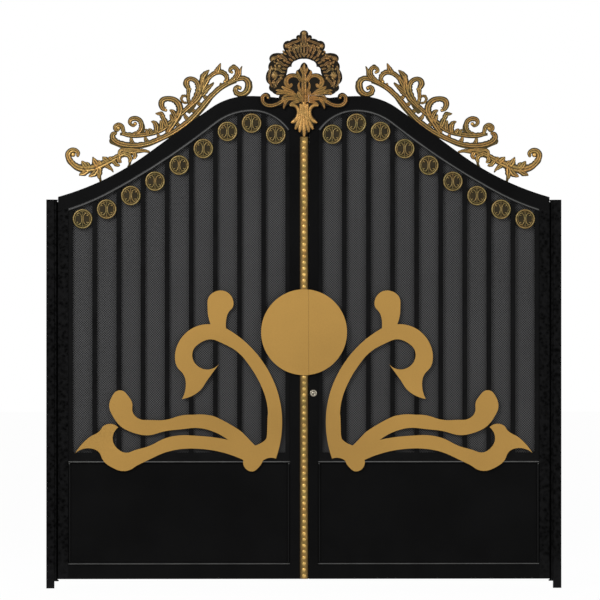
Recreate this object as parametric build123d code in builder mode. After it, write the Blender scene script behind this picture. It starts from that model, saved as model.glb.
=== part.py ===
from build123d import *
import os
from math import cos, radians, sin

# Driving sizes of the gate, in millimetres. +Z is up, the street side is -Y.
OVERALL_WIDTH = 3000.0
POST_WIDTH = 47.0
POST_DEPTH = 50.0
POST_HEIGHT = 2262.0
POST_CORNER = 4.0
POST_FORWARD = 22.0

# Leaf frame
GROUND_GAP = 53.0
LEAF_DEPTH = 50.0
HINGE_GAP = 21.0
HINGE_STILE_WIDTH = 58.5
MEETING_STILE_WIDTH = 52.0
MEETING_CLEARANCE = 5.5
STRIP_WIDTH = 47.0
SHOULDER_STEP = 16.0
RAIL_RISE = 588.0
BOTTOM_RAIL_HEIGHT = 81.0
MID_RAIL_BOTTOM = 731.0
MID_RAIL_HEIGHT = 58.0
MID_RAIL_DEPTH = 34.0
BAR_RECESS = 8.0

# Swan-neck rail, as shares of the leaf reach and of the rail's rise
RAIL_TOP_SHARES = ((0.0, 0.0), (0.374, 0.446), (0.6215, 0.882), (0.772, 1.0), (0.979, 0.945))
RAIL_TOP_START_ANGLE = 15.6
RAIL_LOW_SHARES = ((0.0, -0.143), (0.211, 0.061), (0.634, 0.738), (0.774, 0.869), (0.943, 0.666))
RAIL_LOW_START_ANGLE = 15.0

# Hinges
HEEL_DIAMETER = 18.0
PIN_DIAMETER = 10.0
PIN_CLEARANCE = 0.05
PIN_LENGTH = 60.0
PIVOT_PLATE = 8.0
PIVOT_AIR = 5.0
PIVOT_SEAT_AIR = 0.3
PIVOT_COLLAR_DIAMETER = 15.0
LOWER_EYE_DIAMETER = 26.0
UPPER_EYE_DIAMETER = 14.0

# Infill
BAR_COUNT = 8
BAR_WIDTH = 27.0
BAR_DEPTH = 22.0
SHEET = 2.0
PANEL_SHEET = 3.0
PANEL_SETBACK = 20.0
BEAD_WIDTH = 14.0
BEAD_HEIGHT = 10.0
BEAD_ROUND = 4.5
BEAD_MITRE_AIR = 0.5
TOP_BEAD_WIDTH = 16.0

# Rondels, one in each bay under the rail
RONDEL_BAY_SHARE = 0.825
RONDEL_WALL_SHARE = 0.086
RONDEL_THICKNESS = 14.0
RONDEL_BAR_SHARE = 0.138
RONDEL_DROP_SHARES = (0.64, 0.70, 0.69, 0.71, 0.71, 0.76, 0.72, 0.57, 0.78)

# Centre strip, disc and lock
STRIP_PROUD = 12.0
STRIP_EDGE = 3.0
MEETING_BAR_DEPTH = 40.0
LIP_THICKNESS = 5.0
LIP_AIR = 1.0
DISC_DIAMETER = 500.0
DISC_THICKNESS = 5.0
DISC_HEIGHT = 1490.0
DISC_AIR = 1.5
DISC_PAD_DIAMETER = 30.0
DISC_PAD_SPREAD = 300.0
LOCK_DROP = 105.0
LOCK_DIAMETER = 41.0
LOCK_ROSE = 6.0
LOCK_PLUG_DIAMETER = 17.0
LOCK_PLUG = 4.0

# Cut scroll plate, as shares of the opening's width and of the bars' shortest height
PLATE_WIDTH_SHARE = 0.932
PLATE_LEFT_SHARE = 0.032
PLATE_HEIGHT_SHARE = 0.7525
PLATE_DROP_SHARE = 0.0782
PLATE_THICKNESS = 6.0

# Castings: places and sizes as shares of the leaf reach and of the rail's rise
CAST_THICKNESS = 18.0
CREST_THICKNESS = 20.0
SPRAY_LEFT_SHARE = 0.211
SPRAY_WIDTH_SHARE = 0.5776
SPRAY_BOTTOM_SHARE = 0.4787
SPRAY_HEIGHT_SHARE = 0.853
SPRIG_LEFT_SHARE = 0.032
SPRIG_WIDTH_SHARE = 0.3336
SPRIG_BOTTOM_SHARE = 0.1575
SPRIG_HEIGHT_SHARE = 0.327
CREST_HALF_WIDTH_SHARE = 0.1774
CREST_BOTTOM_SHARE = 0.6156
CREST_HEIGHT_SHARE = 1.034

# Runs that turn less than this share of a half turn are drawn straight
STRAIGHT_SHARE = 0.00001

# Routes of the cast scrolls: shares of the casting's width and height, then half width as a share
SPRAY_ROUTE_SHARES = (
    ((0.042, 0.135, 0.0070), (0.009, 0.123, 0.0113), (0.077, 0.030, 0.0148), (0.225, 0.030, 0.0162),
     (0.380, 0.129, 0.0169), (0.542, 0.274, 0.0176), (0.655, 0.472, 0.0169), (0.754, 0.669, 0.0162),
     (0.887, 0.785, 0.0148)),
    ((0.859, 0.774, 0.0127), (0.958, 0.808, 0.0162), (0.981, 0.675, 0.0169), (0.947, 0.631, 0.0155),
     (0.886, 0.675, 0.0113), (0.923, 0.686, 0.0063)),
    ((0.070, 0.170, 0.0099), (0.218, 0.164, 0.0134), (0.366, 0.228, 0.0141), (0.500, 0.402, 0.0141),
     (0.556, 0.472, 0.0141), (0.655, 0.663, 0.0141), (0.732, 0.768, 0.0056)),
    ((0.088, 0.152, 0.0099), (0.092, 0.216, 0.0106), (0.077, 0.268, 0.0113), (0.049, 0.276, 0.0113),
     (0.037, 0.236, 0.0099), (0.056, 0.210, 0.0070)),
    ((0.222, 0.170, 0.0113), (0.204, 0.326, 0.0120), (0.144, 0.317, 0.0099), (0.177, 0.279, 0.0056)),
    ((0.352, 0.204, 0.0113), (0.342, 0.262, 0.0120), (0.324, 0.300, 0.0092), (0.296, 0.317, 0.0035)),
    ((0.394, 0.239, 0.0127), (0.384, 0.338, 0.0127), (0.359, 0.390, 0.0099), (0.320, 0.411, 0.0035)),
    ((0.444, 0.286, 0.0141), (0.490, 0.489, 0.0183), (0.408, 0.578, 0.0155), (0.354, 0.524, 0.0120),
     (0.398, 0.481, 0.0049)),
    ((0.549, 0.413, 0.0141), (0.613, 0.599, 0.0155), (0.609, 0.779, 0.0148), (0.574, 0.811, 0.0141),
     (0.528, 0.733, 0.0120), (0.569, 0.697, 0.0056)),
    ((0.553, 0.448, 0.0106), (0.551, 0.553, 0.0106), (0.532, 0.611, 0.0092), (0.509, 0.602, 0.0077),
     (0.507, 0.559, 0.0056)),
    ((0.620, 0.553, 0.0141), (0.644, 0.681, 0.0211), (0.658, 0.785, 0.0225), (0.673, 0.861, 0.0169),
     (0.699, 0.915, 0.0042)),
    ((0.676, 0.704, 0.0127), (0.729, 0.869, 0.0155), (0.813, 0.855, 0.0141), (0.799, 0.721, 0.0085)),
    ((0.739, 0.878, 0.0127), (0.766, 0.936, 0.0120), (0.779, 0.994, 0.0035)),
    ((0.824, 0.750, 0.0113), (0.892, 0.890, 0.0120), (0.859, 0.957, 0.0099), (0.861, 0.892, 0.0049)),
    ((0.901, 0.797, 0.0113), (0.914, 0.890, 0.0106), (0.930, 0.959, 0.0035)),
)
SPRIG_ROUTE_SHARES = (
    ((0.149, 0.773, 0.0122), (0.098, 0.945, 0.0195), (0.022, 0.742, 0.0220), (0.116, 0.424, 0.0268),
     (0.329, 0.394, 0.0293), (0.439, 0.455, 0.0280), (0.610, 0.697, 0.0256), (0.793, 0.839, 0.0220),
     (0.988, 0.909, 0.0122)),
    ((0.244, 0.424, 0.0183), (0.226, 0.530, 0.0195), (0.189, 0.606, 0.0073)),
    ((0.378, 0.455, 0.0268), (0.348, 0.591, 0.0244), (0.327, 0.733, 0.0073)),
    ((0.561, 0.621, 0.0220), (0.500, 0.673, 0.0195), (0.443, 0.733, 0.0061)),
    ((0.317, 0.348, 0.0220), (0.244, 0.242, 0.0195), (0.159, 0.173, 0.0073)),
    ((0.421, 0.394, 0.0195), (0.412, 0.197, 0.0183), (0.427, -0.045, 0.0146)),
    ((0.500, 0.515, 0.0195), (0.543, 0.394, 0.0183), (0.579, 0.264, 0.0061)),
    ((0.732, 0.803, 0.0195), (0.772, 0.682, 0.0183), (0.759, 0.424, 0.0159)),
)
# Crest, left half: shares of the half width from the centre outwards, and of the height
CREST_ARM_SHARES = (
    ((0.100, 0.333, 0.050), (0.390, 0.308, 0.050), (0.690, 0.287, 0.045), (0.830, 0.281, 0.045),
     (0.925, 0.312, 0.045), (0.945, 0.362, 0.042), (0.880, 0.388, 0.036), (0.800, 0.368, 0.030),
     (0.806, 0.333, 0.018)),
    ((0.300, 0.320, 0.045), (0.430, 0.285, 0.036), (0.465, 0.242, 0.012)),
)
CREST_LEAF_SHARES = (
    ((0.0, 0.372), (0.300, 0.372), (0.600, 0.350)),
    ((0.600, 0.350), (0.440, 0.300), (0.161, 0.310), (0.0, 0.300)),
)
# Fan under the crest: shares of the meeting line's place, of the half width beyond it, and of the height
CREST_FAN_SHARES = (
    ((0.0, 0.0, 0.333), (1.0, 0.049, 0.324), (1.0, 0.204, 0.290)),
    ((1.0, 0.204, 0.290), (1.0, 0.087, 0.271), (1.0, 0.030, 0.222), (1.0, 0.048, 0.178),
     (1.0, 0.100, 0.151), (1.0, 0.210, 0.118)),
    ((1.0, 0.210, 0.118), (1.0, 0.150, 0.105), (1.0, 0.113, 0.051)),
    ((1.0, 0.113, 0.051), (1.0, 0.025, 0.052), (0.78, 0.0, 0.041)),
    ((0.78, 0.0, 0.041), (0.59, 0.0, 0.010), (0.0, 0.0, 0.0)),
)
WREATH_SHARES = (
    ((0.0, 1.0), (0.085, 0.980), (0.096, 0.953)),
    ((0.096, 0.953), (0.172, 0.945), (0.175, 0.920)),
    ((0.175, 0.920), (0.250, 0.918), (0.330, 0.898)),
    ((0.330, 0.898), (0.450, 0.885), (0.482, 0.845), (0.447, 0.808)),
    ((0.447, 0.808), (0.480, 0.785), (0.530, 0.780)),
    ((0.530, 0.780), (0.640, 0.782), (0.745, 0.768), (0.796, 0.735), (0.768, 0.700)),
    ((0.768, 0.700), (0.815, 0.668), (0.810, 0.625)),
    ((0.810, 0.625), (0.872, 0.570), (0.850, 0.505), (0.780, 0.480)),
    ((0.780, 0.480), (0.805, 0.448), (0.734, 0.412)),
    ((0.734, 0.412), (0.670, 0.390), (0.560, 0.384)),
)
WREATH_FOOT_SHARES = ((0.560, 0.384), (0.060, 0.384), (0.060, 0.340), (0.0, 0.340))
WREATH_WEB_SHARES = ((0.0, 0.384), (0.560, 0.384), (0.590, 0.350), (0.400, 0.340), (0.0, 0.340))
WREATH_OPENING_SHARES = (
    ((0.0, 0.726), (0.100, 0.724), (0.183, 0.710)),
    ((0.183, 0.710), (0.260, 0.690), (0.285, 0.650)),
    ((0.285, 0.650), (0.350, 0.645), (0.378, 0.625)),
    ((0.378, 0.625), (0.400, 0.580), (0.450, 0.540), (0.424, 0.522)),
    ((0.424, 0.522), (0.380, 0.560), (0.298, 0.580), (0.183, 0.575), (0.115, 0.556)),
    ((0.115, 0.556), (0.150, 0.585), (0.172, 0.616)),
    ((0.172, 0.616), (0.120, 0.628), (0.085, 0.650)),
    ((0.085, 0.650), (0.050, 0.680), (0.0, 0.693)),
)

# Places worked out from the sizes
SHOULDER_HEIGHT = POST_HEIGHT + SHOULDER_STEP
CENTRE_X = OVERALL_WIDTH / 2 - POST_WIDTH / 2
LEAF_FRONT = POST_FORWARD - POST_DEPTH / 2
REACH = OVERALL_WIDTH / 2 - POST_WIDTH - HINGE_GAP
STILE_IN = REACH - HINGE_STILE_WIDTH
MEETING_OUT = STRIP_WIDTH / 2 + MEETING_CLEARANCE
MEETING_IN = MEETING_OUT + MEETING_STILE_WIDTH
OPENING_WIDTH = STILE_IN - MEETING_IN
AXIS_X = REACH + HEEL_DIAMETER / 2
AXIS_DEPTH = LEAF_DEPTH / 2
MID_RAIL_TOP = MID_RAIL_BOTTOM + MID_RAIL_HEIGHT
BOTTOM_RAIL_TOP = GROUND_GAP + BOTTOM_RAIL_HEIGHT
BAR_PITCH = (OPENING_WIDTH - BAR_WIDTH) / (BAR_COUNT + 1)
HEEL_TOP = POST_HEIGHT - PIVOT_PLATE - PIVOT_AIR
RAIL_END_TOP = SHOULDER_HEIGHT + RAIL_TOP_SHARES[-1][1] * RAIL_RISE
RAIL_END_LOW = SHOULDER_HEIGHT + RAIL_LOW_SHARES[-1][1] * RAIL_RISE
SKY = SHOULDER_HEIGHT + RAIL_RISE + RAIL_RISE
LOCK_HEIGHT = DISC_HEIGHT - DISC_DIAMETER / 2 - LOCK_DROP
BARS_SHORTEST = SHOULDER_HEIGHT + RAIL_LOW_SHARES[0][1] * RAIL_RISE - MID_RAIL_TOP
RONDEL_DIAMETER = BAR_PITCH * RONDEL_BAY_SHARE
RONDEL_WALL = RONDEL_DIAMETER * RONDEL_WALL_SHARE
RONDEL_BAR = RONDEL_DIAMETER * RONDEL_BAR_SHARE
PLATE_WIDTH = OPENING_WIDTH * PLATE_WIDTH_SHARE
PLATE_LEFT = -STILE_IN + OPENING_WIDTH * PLATE_LEFT_SHARE
PLATE_HEIGHT = BARS_SHORTEST * PLATE_HEIGHT_SHARE
PLATE_BOTTOM = MID_RAIL_TOP - BARS_SHORTEST * PLATE_DROP_SHARE
SPRAY_WIDTH = REACH * SPRAY_WIDTH_SHARE
SPRAY_HEIGHT = RAIL_RISE * SPRAY_HEIGHT_SHARE
SPRAY_LEFT = REACH * SPRAY_LEFT_SHARE - REACH
SPRAY_BOTTOM = SHOULDER_HEIGHT + RAIL_RISE * SPRAY_BOTTOM_SHARE
SPRIG_WIDTH = REACH * SPRIG_WIDTH_SHARE
SPRIG_HEIGHT = RAIL_RISE * SPRIG_HEIGHT_SHARE
SPRIG_LEFT = REACH * SPRIG_LEFT_SHARE - REACH
SPRIG_BOTTOM = SHOULDER_HEIGHT + RAIL_RISE * SPRIG_BOTTOM_SHARE
CREST_HALF_WIDTH = REACH * CREST_HALF_WIDTH_SHARE
CREST_HEIGHT = RAIL_RISE * CREST_HEIGHT_SHARE
CREST_BOTTOM = SHOULDER_HEIGHT + RAIL_RISE * CREST_BOTTOM_SHARE


def front(depth):
    """Upright drawing plane at a depth behind the leaf front; x from the gate centre, y up."""
    return Plane(origin=(CENTRE_X, LEAF_FRONT + depth, 0), x_dir=(1, 0, 0), z_dir=(0, -1, 0))


def rail_points(shares):
    """Points of a rail edge from the hinge side to the meeting side."""
    return [Vector(-REACH + x * REACH, SHOULDER_HEIGHT + z * RAIL_RISE) for x, z in shares]


def top_points():
    """Points of the rail's upper edge, the last one on the meeting line."""
    return rail_points(RAIL_TOP_SHARES[:-1]) + [Vector(-MEETING_OUT, RAIL_END_TOP)]


def rail_edge(points, angle):
    """Chain of tangent arcs through the points, drawn in the line being built."""
    heading = Vector(cos(radians(angle)), sin(radians(angle)))
    arcs = []
    for start, end in zip(points, points[1:]):
        arcs.append(TangentArc(start, end, tangent=heading))
        heading = arcs[-1] % 1
    return arcs


def low_edge_height(x):
    """Height of the rail's lower edge over a place x, found on its arcs."""
    with BuildLine(mode=Mode.PRIVATE) as edge:
        arcs = rail_edge(rail_points(RAIL_LOW_SHARES), RAIL_LOW_START_ANGLE)
    for arc in arcs:
        low, high = 0.0, 1.0
        if (arc @ low).X <= x <= (arc @ high).X:
            for _ in range(BAR_COUNT * BAR_COUNT):
                middle = (low + high) / 2
                if (arc @ middle).X < x:
                    low = middle
                else:
                    high = middle
            return (arc @ low).Y
    return RAIL_END_LOW


def circle_heading(before, point, after, at):
    """Heading, at one of three points, of the circle through them."""
    first = point - before
    second = after - point
    blend = (first.normalized() * second.length + second.normalized() * first.length).normalized()
    if at is point:
        return blend
    chord = (first if at is before else second).normalized()
    return (chord * (2 * blend.dot(chord)) - blend).normalized()


def arc_run(points):
    """Smooth run of paired tangent arcs through the points, drawn in the line being built."""
    points = [Vector(*point) for point in points]
    headings = [circle_heading(*points[:3], points[0])]
    for before, point, after in zip(points, points[1:], points[2:]):
        headings.append(circle_heading(before, point, after, point))
    headings.append(circle_heading(*points[-3:], points[-1]))
    for start, end, leave, arrive in zip(points, points[1:], headings, headings[1:]):
        chord = end - start
        turn = 1 - leave.dot(arrive)
        along = chord.dot(leave + arrive)
        if turn < STRAIGHT_SHARE:
            Line(start, end)
            continue
        reach = ((along * along + 2 * turn * chord.dot(chord)) ** (1 / 2) - along) / (2 * turn)
        joint = (start + end) / 2 + (leave - arrive) * (reach / 2)
        TangentArc(start, joint, tangent=leave)
        TangentArc(end, joint, tangent=arrive * -1)


def band_sides(route, left, bottom, width, height):
    """Both sides of a tapered scroll band along a route of shares."""
    spine = [Vector(left + x * width, bottom + z * height) for x, z, _ in route]
    halves = [half * width for _, _, half in route]
    near = []
    far = []
    for index, point in enumerate(spine):
        before = spine[max(index - 1, 0)]
        after = spine[min(index + 1, len(spine) - 1)]
        along = (after - before).normalized()
        across = Vector(-along.Y, along.X)
        near.append(point + across * halves[index])
        far.append(point - across * halves[index])
    return near, far


# Posts, on whose left foot the origin lies
with BuildPart() as left_post:
    Box(POST_WIDTH, POST_DEPTH, POST_HEIGHT, align=(Align.CENTER, Align.CENTER, Align.MIN))
    fillet(left_post.edges().filter_by(Axis.Z), POST_CORNER)

# Pivots: a foot plate with a pin under the leaf and a small plate with a pin at the post top
PIVOT_X = CENTRE_X - AXIS_X
PIVOT_Y = LEAF_FRONT + AXIS_DEPTH
LOWER_PLATE_TOP = GROUND_GAP - PIVOT_AIR
with BuildPart() as left_pivots:
    with BuildSketch(Plane.XY.offset(LOWER_PLATE_TOP)):
        with Locations((PIVOT_X, PIVOT_Y)):
            Circle(LOWER_EYE_DIAMETER / 2)
            Rectangle(PIVOT_X - POST_WIDTH / 2, LOWER_EYE_DIAMETER, align=(Align.MAX, Align.CENTER))
        with Locations((POST_WIDTH / 2, PIVOT_Y)):
            Rectangle(POST_WIDTH, POST_DEPTH, align=(Align.MAX, Align.CENTER), mode=Mode.SUBTRACT)
    extrude(amount=-PIVOT_PLATE)
    with BuildSketch(Plane.XY.offset(LOWER_PLATE_TOP)):
        with Locations((PIVOT_X, PIVOT_Y)):
            Circle(PIVOT_COLLAR_DIAMETER / 2)
    extrude(amount=PIVOT_AIR - PIVOT_SEAT_AIR)
    with BuildSketch(Plane.XY.offset(LOWER_PLATE_TOP)):
        with Locations((PIVOT_X, PIVOT_Y)):
            Circle(PIN_DIAMETER / 2)
    extrude(amount=PIN_LENGTH)
    with BuildSketch(Plane.XY.offset(POST_HEIGHT)):
        with Locations((PIVOT_X, PIVOT_Y)):
            Circle(UPPER_EYE_DIAMETER / 2)
            Rectangle(PIVOT_X - POST_WIDTH / 2, UPPER_EYE_DIAMETER, align=(Align.MAX, Align.CENTER))
    extrude(amount=-PIVOT_PLATE)
    with BuildSketch(Plane.XY.offset(POST_HEIGHT)):
        with Locations((PIVOT_X, PIVOT_Y)):
            Circle(PIN_DIAMETER / 2)
    extrude(amount=-PIN_LENGTH)

# Heel tube on the hinge axis, welded along the hinge stile
with BuildPart() as left_heel_tube:
    with BuildSketch(Plane.XY.offset(GROUND_GAP)):
        with Locations((PIVOT_X, PIVOT_Y)):
            Circle(HEEL_DIAMETER / 2)
            Circle(PIN_DIAMETER / 2 + PIN_CLEARANCE, mode=Mode.SUBTRACT)
    extrude(amount=HEEL_TOP - GROUND_GAP)

# Swan-neck top rail between two chains of tangent arcs
with BuildPart() as left_top_rail:
    with BuildSketch(front(0)):
        with BuildLine():
            top_edge = rail_edge(top_points(), RAIL_TOP_START_ANGLE)
            low_edge = rail_edge(rail_points(RAIL_LOW_SHARES), RAIL_LOW_START_ANGLE)
            Line(low_edge[0] @ 0, top_edge[0] @ 0)
            Polyline(low_edge[-1] @ 1, (-MEETING_OUT, RAIL_END_LOW), top_edge[-1] @ 1)
        make_face()
    extrude(amount=-LEAF_DEPTH)

# Everything above the rail's lower edge, cut off the pieces that end under it
with BuildPart() as above_rail:
    with BuildSketch(front(-LEAF_DEPTH)):
        with BuildLine():
            low_edge = rail_edge(rail_points(RAIL_LOW_SHARES), RAIL_LOW_START_ANGLE)
            Polyline(low_edge[-1] @ 1, (0, RAIL_END_LOW), (0, SKY), (-REACH, SKY), low_edge[0] @ 0)
        make_face()
    extrude(amount=-LEAF_DEPTH - LEAF_DEPTH - LEAF_DEPTH)

# Everything below the rail's upper edge, cut off the castings that stand on it
with BuildPart() as below_top:
    with BuildSketch(front(-LEAF_DEPTH)):
        with BuildLine():
            top_edge = rail_edge(top_points(), RAIL_TOP_START_ANGLE)
            Polyline(top_edge[-1] @ 1, (-MEETING_OUT, 0), (-REACH, 0), top_edge[0] @ 0)
        make_face()
    extrude(amount=-LEAF_DEPTH - LEAF_DEPTH - LEAF_DEPTH)

with BuildPart() as left_hinge_stile:
    with BuildSketch(front(0)):
        with Locations((-REACH, GROUND_GAP)):
            Rectangle(HINGE_STILE_WIDTH, SHOULDER_HEIGHT, align=(Align.MIN, Align.MIN))
    extrude(amount=-LEAF_DEPTH)
    add(above_rail.part, mode=Mode.SUBTRACT)

with BuildPart() as left_meeting_stile:
    with BuildSketch(front(0)):
        with Locations((-MEETING_OUT, GROUND_GAP)):
            Rectangle(MEETING_STILE_WIDTH, RAIL_END_LOW - GROUND_GAP, align=(Align.MAX, Align.MIN))
    extrude(amount=-LEAF_DEPTH)

with BuildPart() as left_bottom_rail:
    with BuildSketch(front(0)):
        with Locations((-STILE_IN, GROUND_GAP)):
            Rectangle(OPENING_WIDTH, BOTTOM_RAIL_HEIGHT, align=(Align.MIN, Align.MIN))
    extrude(amount=-LEAF_DEPTH)

with BuildPart() as left_mid_rail:
    with BuildSketch(front(BAR_RECESS)):
        with Locations((-STILE_IN, MID_RAIL_BOTTOM)):
            Rectangle(OPENING_WIDTH, MID_RAIL_HEIGHT, align=(Align.MIN, Align.MIN))
    extrude(amount=-MID_RAIL_DEPTH)

# Upright bars, with one against each stile
with BuildPart() as left_bars:
    with BuildSketch(front(BAR_RECESS)):
        with Locations((-STILE_IN + BAR_WIDTH / 2, MID_RAIL_TOP)):
            with Locations([(index * BAR_PITCH, 0) for index in range(BAR_COUNT + 2)]):
                Rectangle(BAR_WIDTH, SHOULDER_HEIGHT, align=(Align.CENTER, Align.MIN))
    extrude(amount=-BAR_DEPTH)
    add(above_rail.part, mode=Mode.SUBTRACT)

with BuildPart() as left_infill_sheet:
    with BuildSketch(front(BAR_RECESS + BAR_DEPTH)):
        with Locations((-STILE_IN, MID_RAIL_TOP)):
            Rectangle(OPENING_WIDTH, SHOULDER_HEIGHT, align=(Align.MIN, Align.MIN))
    extrude(amount=-SHEET)
    add(above_rail.part, mode=Mode.SUBTRACT)

with BuildPart() as left_kick_panel:
    with BuildSketch(front(PANEL_SETBACK)):
        with Locations((-STILE_IN, BOTTOM_RAIL_TOP)):
            Rectangle(OPENING_WIDTH, MID_RAIL_BOTTOM - BOTTOM_RAIL_TOP, align=(Align.MIN, Align.MIN))
    extrude(amount=-PANEL_SHEET)

# Bead frame on the kick panel: two long beads and two short ones between them
PANEL_HEIGHT = MID_RAIL_BOTTOM - BOTTOM_RAIL_TOP
PANEL_MIDDLE = (-STILE_IN - MEETING_IN) / 2
with BuildPart() as left_panel_bead:
    with BuildSketch(front(PANEL_SETBACK)):
        with Locations((PANEL_MIDDLE, BOTTOM_RAIL_TOP + PANEL_HEIGHT / 2)):
            with GridLocations(0, PANEL_HEIGHT - BEAD_WIDTH, 1, 2):
                Rectangle(OPENING_WIDTH, BEAD_WIDTH)
            with GridLocations(OPENING_WIDTH - BEAD_WIDTH, 0, 2, 1):
                Rectangle(BEAD_WIDTH, PANEL_HEIGHT - 2 * BEAD_WIDTH - 2 * BEAD_MITRE_AIR)
    extrude(amount=BEAD_HEIGHT)
    fillet(left_panel_bead.faces().sort_by(Axis.Y)[:4].edges().filter_by(
        lambda edge: edge.length > BEAD_WIDTH * 2), BEAD_ROUND)

# Bead along the rail's lower edge, resting on the bars
with BuildPart() as left_top_bead:
    with BuildSketch(front(BAR_RECESS)):
        with BuildLine():
            upper = rail_edge(rail_points(RAIL_LOW_SHARES), RAIL_LOW_START_ANGLE)
            headings = [arc % 0 for arc in upper] + [upper[-1] % 1]
            places = [arc @ 0 for arc in upper] + [upper[-1] @ 1]
            lowered = [
                place + Vector(heading.Y, -heading.X) * TOP_BEAD_WIDTH
                for place, heading in zip(places, headings)
            ]
            lower = rail_edge(lowered, RAIL_LOW_START_ANGLE)
            Line(upper[0] @ 0, lower[0] @ 0)
            Line(upper[-1] @ 1, lower[-1] @ 1)
        make_face()
    extrude(amount=BAR_RECESS)
    with BuildSketch(front(BAR_RECESS)):
        with Locations((PANEL_MIDDLE, SHOULDER_HEIGHT)):
            Rectangle(OPENING_WIDTH, RAIL_RISE * 2)
    extrude(amount=BAR_RECESS, mode=Mode.INTERSECT)

# Rondels: a ring with an upright bar, seated on the bars beside it
with BuildPart() as left_rondels:
    with BuildSketch(front(BAR_RECESS)):
        for bay, drop in enumerate(RONDEL_DROP_SHARES):
            bay_x = -STILE_IN + BAR_WIDTH / 2 + (bay + 1 / 2) * BAR_PITCH
            bay_z = low_edge_height(bay_x) - TOP_BEAD_WIDTH - drop * RONDEL_DIAMETER
            with Locations((bay_x, bay_z)):
                Circle(RONDEL_DIAMETER / 2)
                Circle(RONDEL_DIAMETER / 2 - RONDEL_WALL, mode=Mode.SUBTRACT)
                Rectangle(RONDEL_BAR, RONDEL_DIAMETER - RONDEL_WALL)
    extrude(amount=RONDEL_THICKNESS)

# Bar that closes the meeting line, and the gold strip it carries
with BuildPart() as meeting_bar:
    with BuildSketch(front(0)):
        with Locations((-MEETING_OUT, GROUND_GAP)):
            Rectangle(MEETING_OUT + STRIP_WIDTH / 2, RAIL_END_TOP - GROUND_GAP, align=(Align.MIN, Align.MIN))
    extrude(amount=-MEETING_BAR_DEPTH)

with BuildPart() as bead_strip:
    with BuildSketch(Plane(origin=(CENTRE_X, LEAF_FRONT, GROUND_GAP), x_dir=(1, 0, 0), z_dir=(0, 0, 1))):
        with BuildLine():
            Polyline((-STRIP_WIDTH / 2, -STRIP_EDGE), (-STRIP_WIDTH / 2, 0), (STRIP_WIDTH / 2, 0),
                     (STRIP_WIDTH / 2, -STRIP_EDGE))
            ThreePointArc((-STRIP_WIDTH / 2, -STRIP_EDGE), (0, -STRIP_PROUD), (STRIP_WIDTH / 2, -STRIP_EDGE))
        make_face()
    extrude(amount=CREST_BOTTOM - STRIP_PROUD - GROUND_GAP)

# Lip behind the meeting line, on the right leaf
with BuildPart() as meeting_lip:
    with BuildSketch(front(LEAF_DEPTH)):
        with Locations((MEETING_OUT, GROUND_GAP)):
            Rectangle(MEETING_CLEARANCE - LIP_AIR, RAIL_END_TOP - GROUND_GAP, align=(Align.MAX, Align.MIN))
    extrude(amount=LIP_THICKNESS)

# Centre disc on pads, parted along the meeting line
DISC_SETOFF = STRIP_PROUD + DISC_AIR
STILE_MIDDLE = MEETING_OUT + MEETING_STILE_WIDTH / 2
with BuildPart() as whole_disc:
    with BuildSketch(front(-DISC_SETOFF)):
        with Locations((0, DISC_HEIGHT)):
            Circle(DISC_DIAMETER / 2)
    extrude(amount=DISC_THICKNESS)
    with BuildSketch(front(-DISC_SETOFF)):
        with Locations((0, DISC_HEIGHT)):
            with GridLocations(2 * STILE_MIDDLE, DISC_PAD_SPREAD, 2, 2):
                Circle(DISC_PAD_DIAMETER / 2)
    extrude(amount=-DISC_SETOFF)
with BuildPart() as right_side:
    with BuildSketch(front(LEAF_DEPTH)):
        with Locations((STRIP_WIDTH / 2, 0)):
            Rectangle(OVERALL_WIDTH, SKY, align=(Align.MIN, Align.MIN))
    extrude(amount=LEAF_DEPTH * 3)
with BuildPart() as left_side:
    with BuildSketch(front(LEAF_DEPTH)):
        with Locations((MEETING_OUT, 0)):
            Rectangle(OVERALL_WIDTH, SKY, align=(Align.MAX, Align.MIN))
    extrude(amount=LEAF_DEPTH * 3)
with BuildPart() as left_disc:
    add(whole_disc.part)
    add(right_side.part, mode=Mode.SUBTRACT)
with BuildPart() as right_disc:
    add(whole_disc.part)
    add(left_side.part, mode=Mode.SUBTRACT)

with BuildPart() as lock_rose:
    with BuildSketch(front(0)):
        with Locations((STILE_MIDDLE, LOCK_HEIGHT)):
            Circle(LOCK_DIAMETER / 2)
    extrude(amount=LOCK_ROSE)
    with BuildSketch(front(0)):
        with Locations((STILE_MIDDLE, LOCK_HEIGHT)):
            Circle(LOCK_PLUG_DIAMETER / 2)
    extrude(amount=LOCK_ROSE + LOCK_PLUG)

# Castings on the slope, standing on the rail's upper edge
CAST_DEPTH = (LEAF_DEPTH + CAST_THICKNESS) / 2
with BuildPart() as left_upper_spray:
    with BuildSketch(front(CAST_DEPTH)):
        for route in SPRAY_ROUTE_SHARES:
            near, far = band_sides(route, SPRAY_LEFT, SPRAY_BOTTOM, SPRAY_WIDTH, SPRAY_HEIGHT)
            with BuildLine():
                arc_run(near)
                Line(near[-1], far[-1])
                arc_run(far)
                Line(far[0], near[0])
            make_face()
    extrude(amount=CAST_THICKNESS)
    add(below_top.part, mode=Mode.SUBTRACT)

with BuildPart() as left_lower_sprig:
    with BuildSketch(front(CAST_DEPTH)):
        for route in SPRIG_ROUTE_SHARES:
            near, far = band_sides(route, SPRIG_LEFT, SPRIG_BOTTOM, SPRIG_WIDTH, SPRIG_HEIGHT)
            with BuildLine():
                arc_run(near)
                Line(near[-1], far[-1])
                arc_run(far)
                Line(far[0], near[0])
            make_face()
    extrude(amount=CAST_THICKNESS)
    add(below_top.part, mode=Mode.SUBTRACT)


def crest_points(shares):
    """Points of half a crest outline, left of the centre."""
    return [(-x * CREST_HALF_WIDTH, CREST_BOTTOM + z * CREST_HEIGHT) for x, z in shares]


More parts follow.
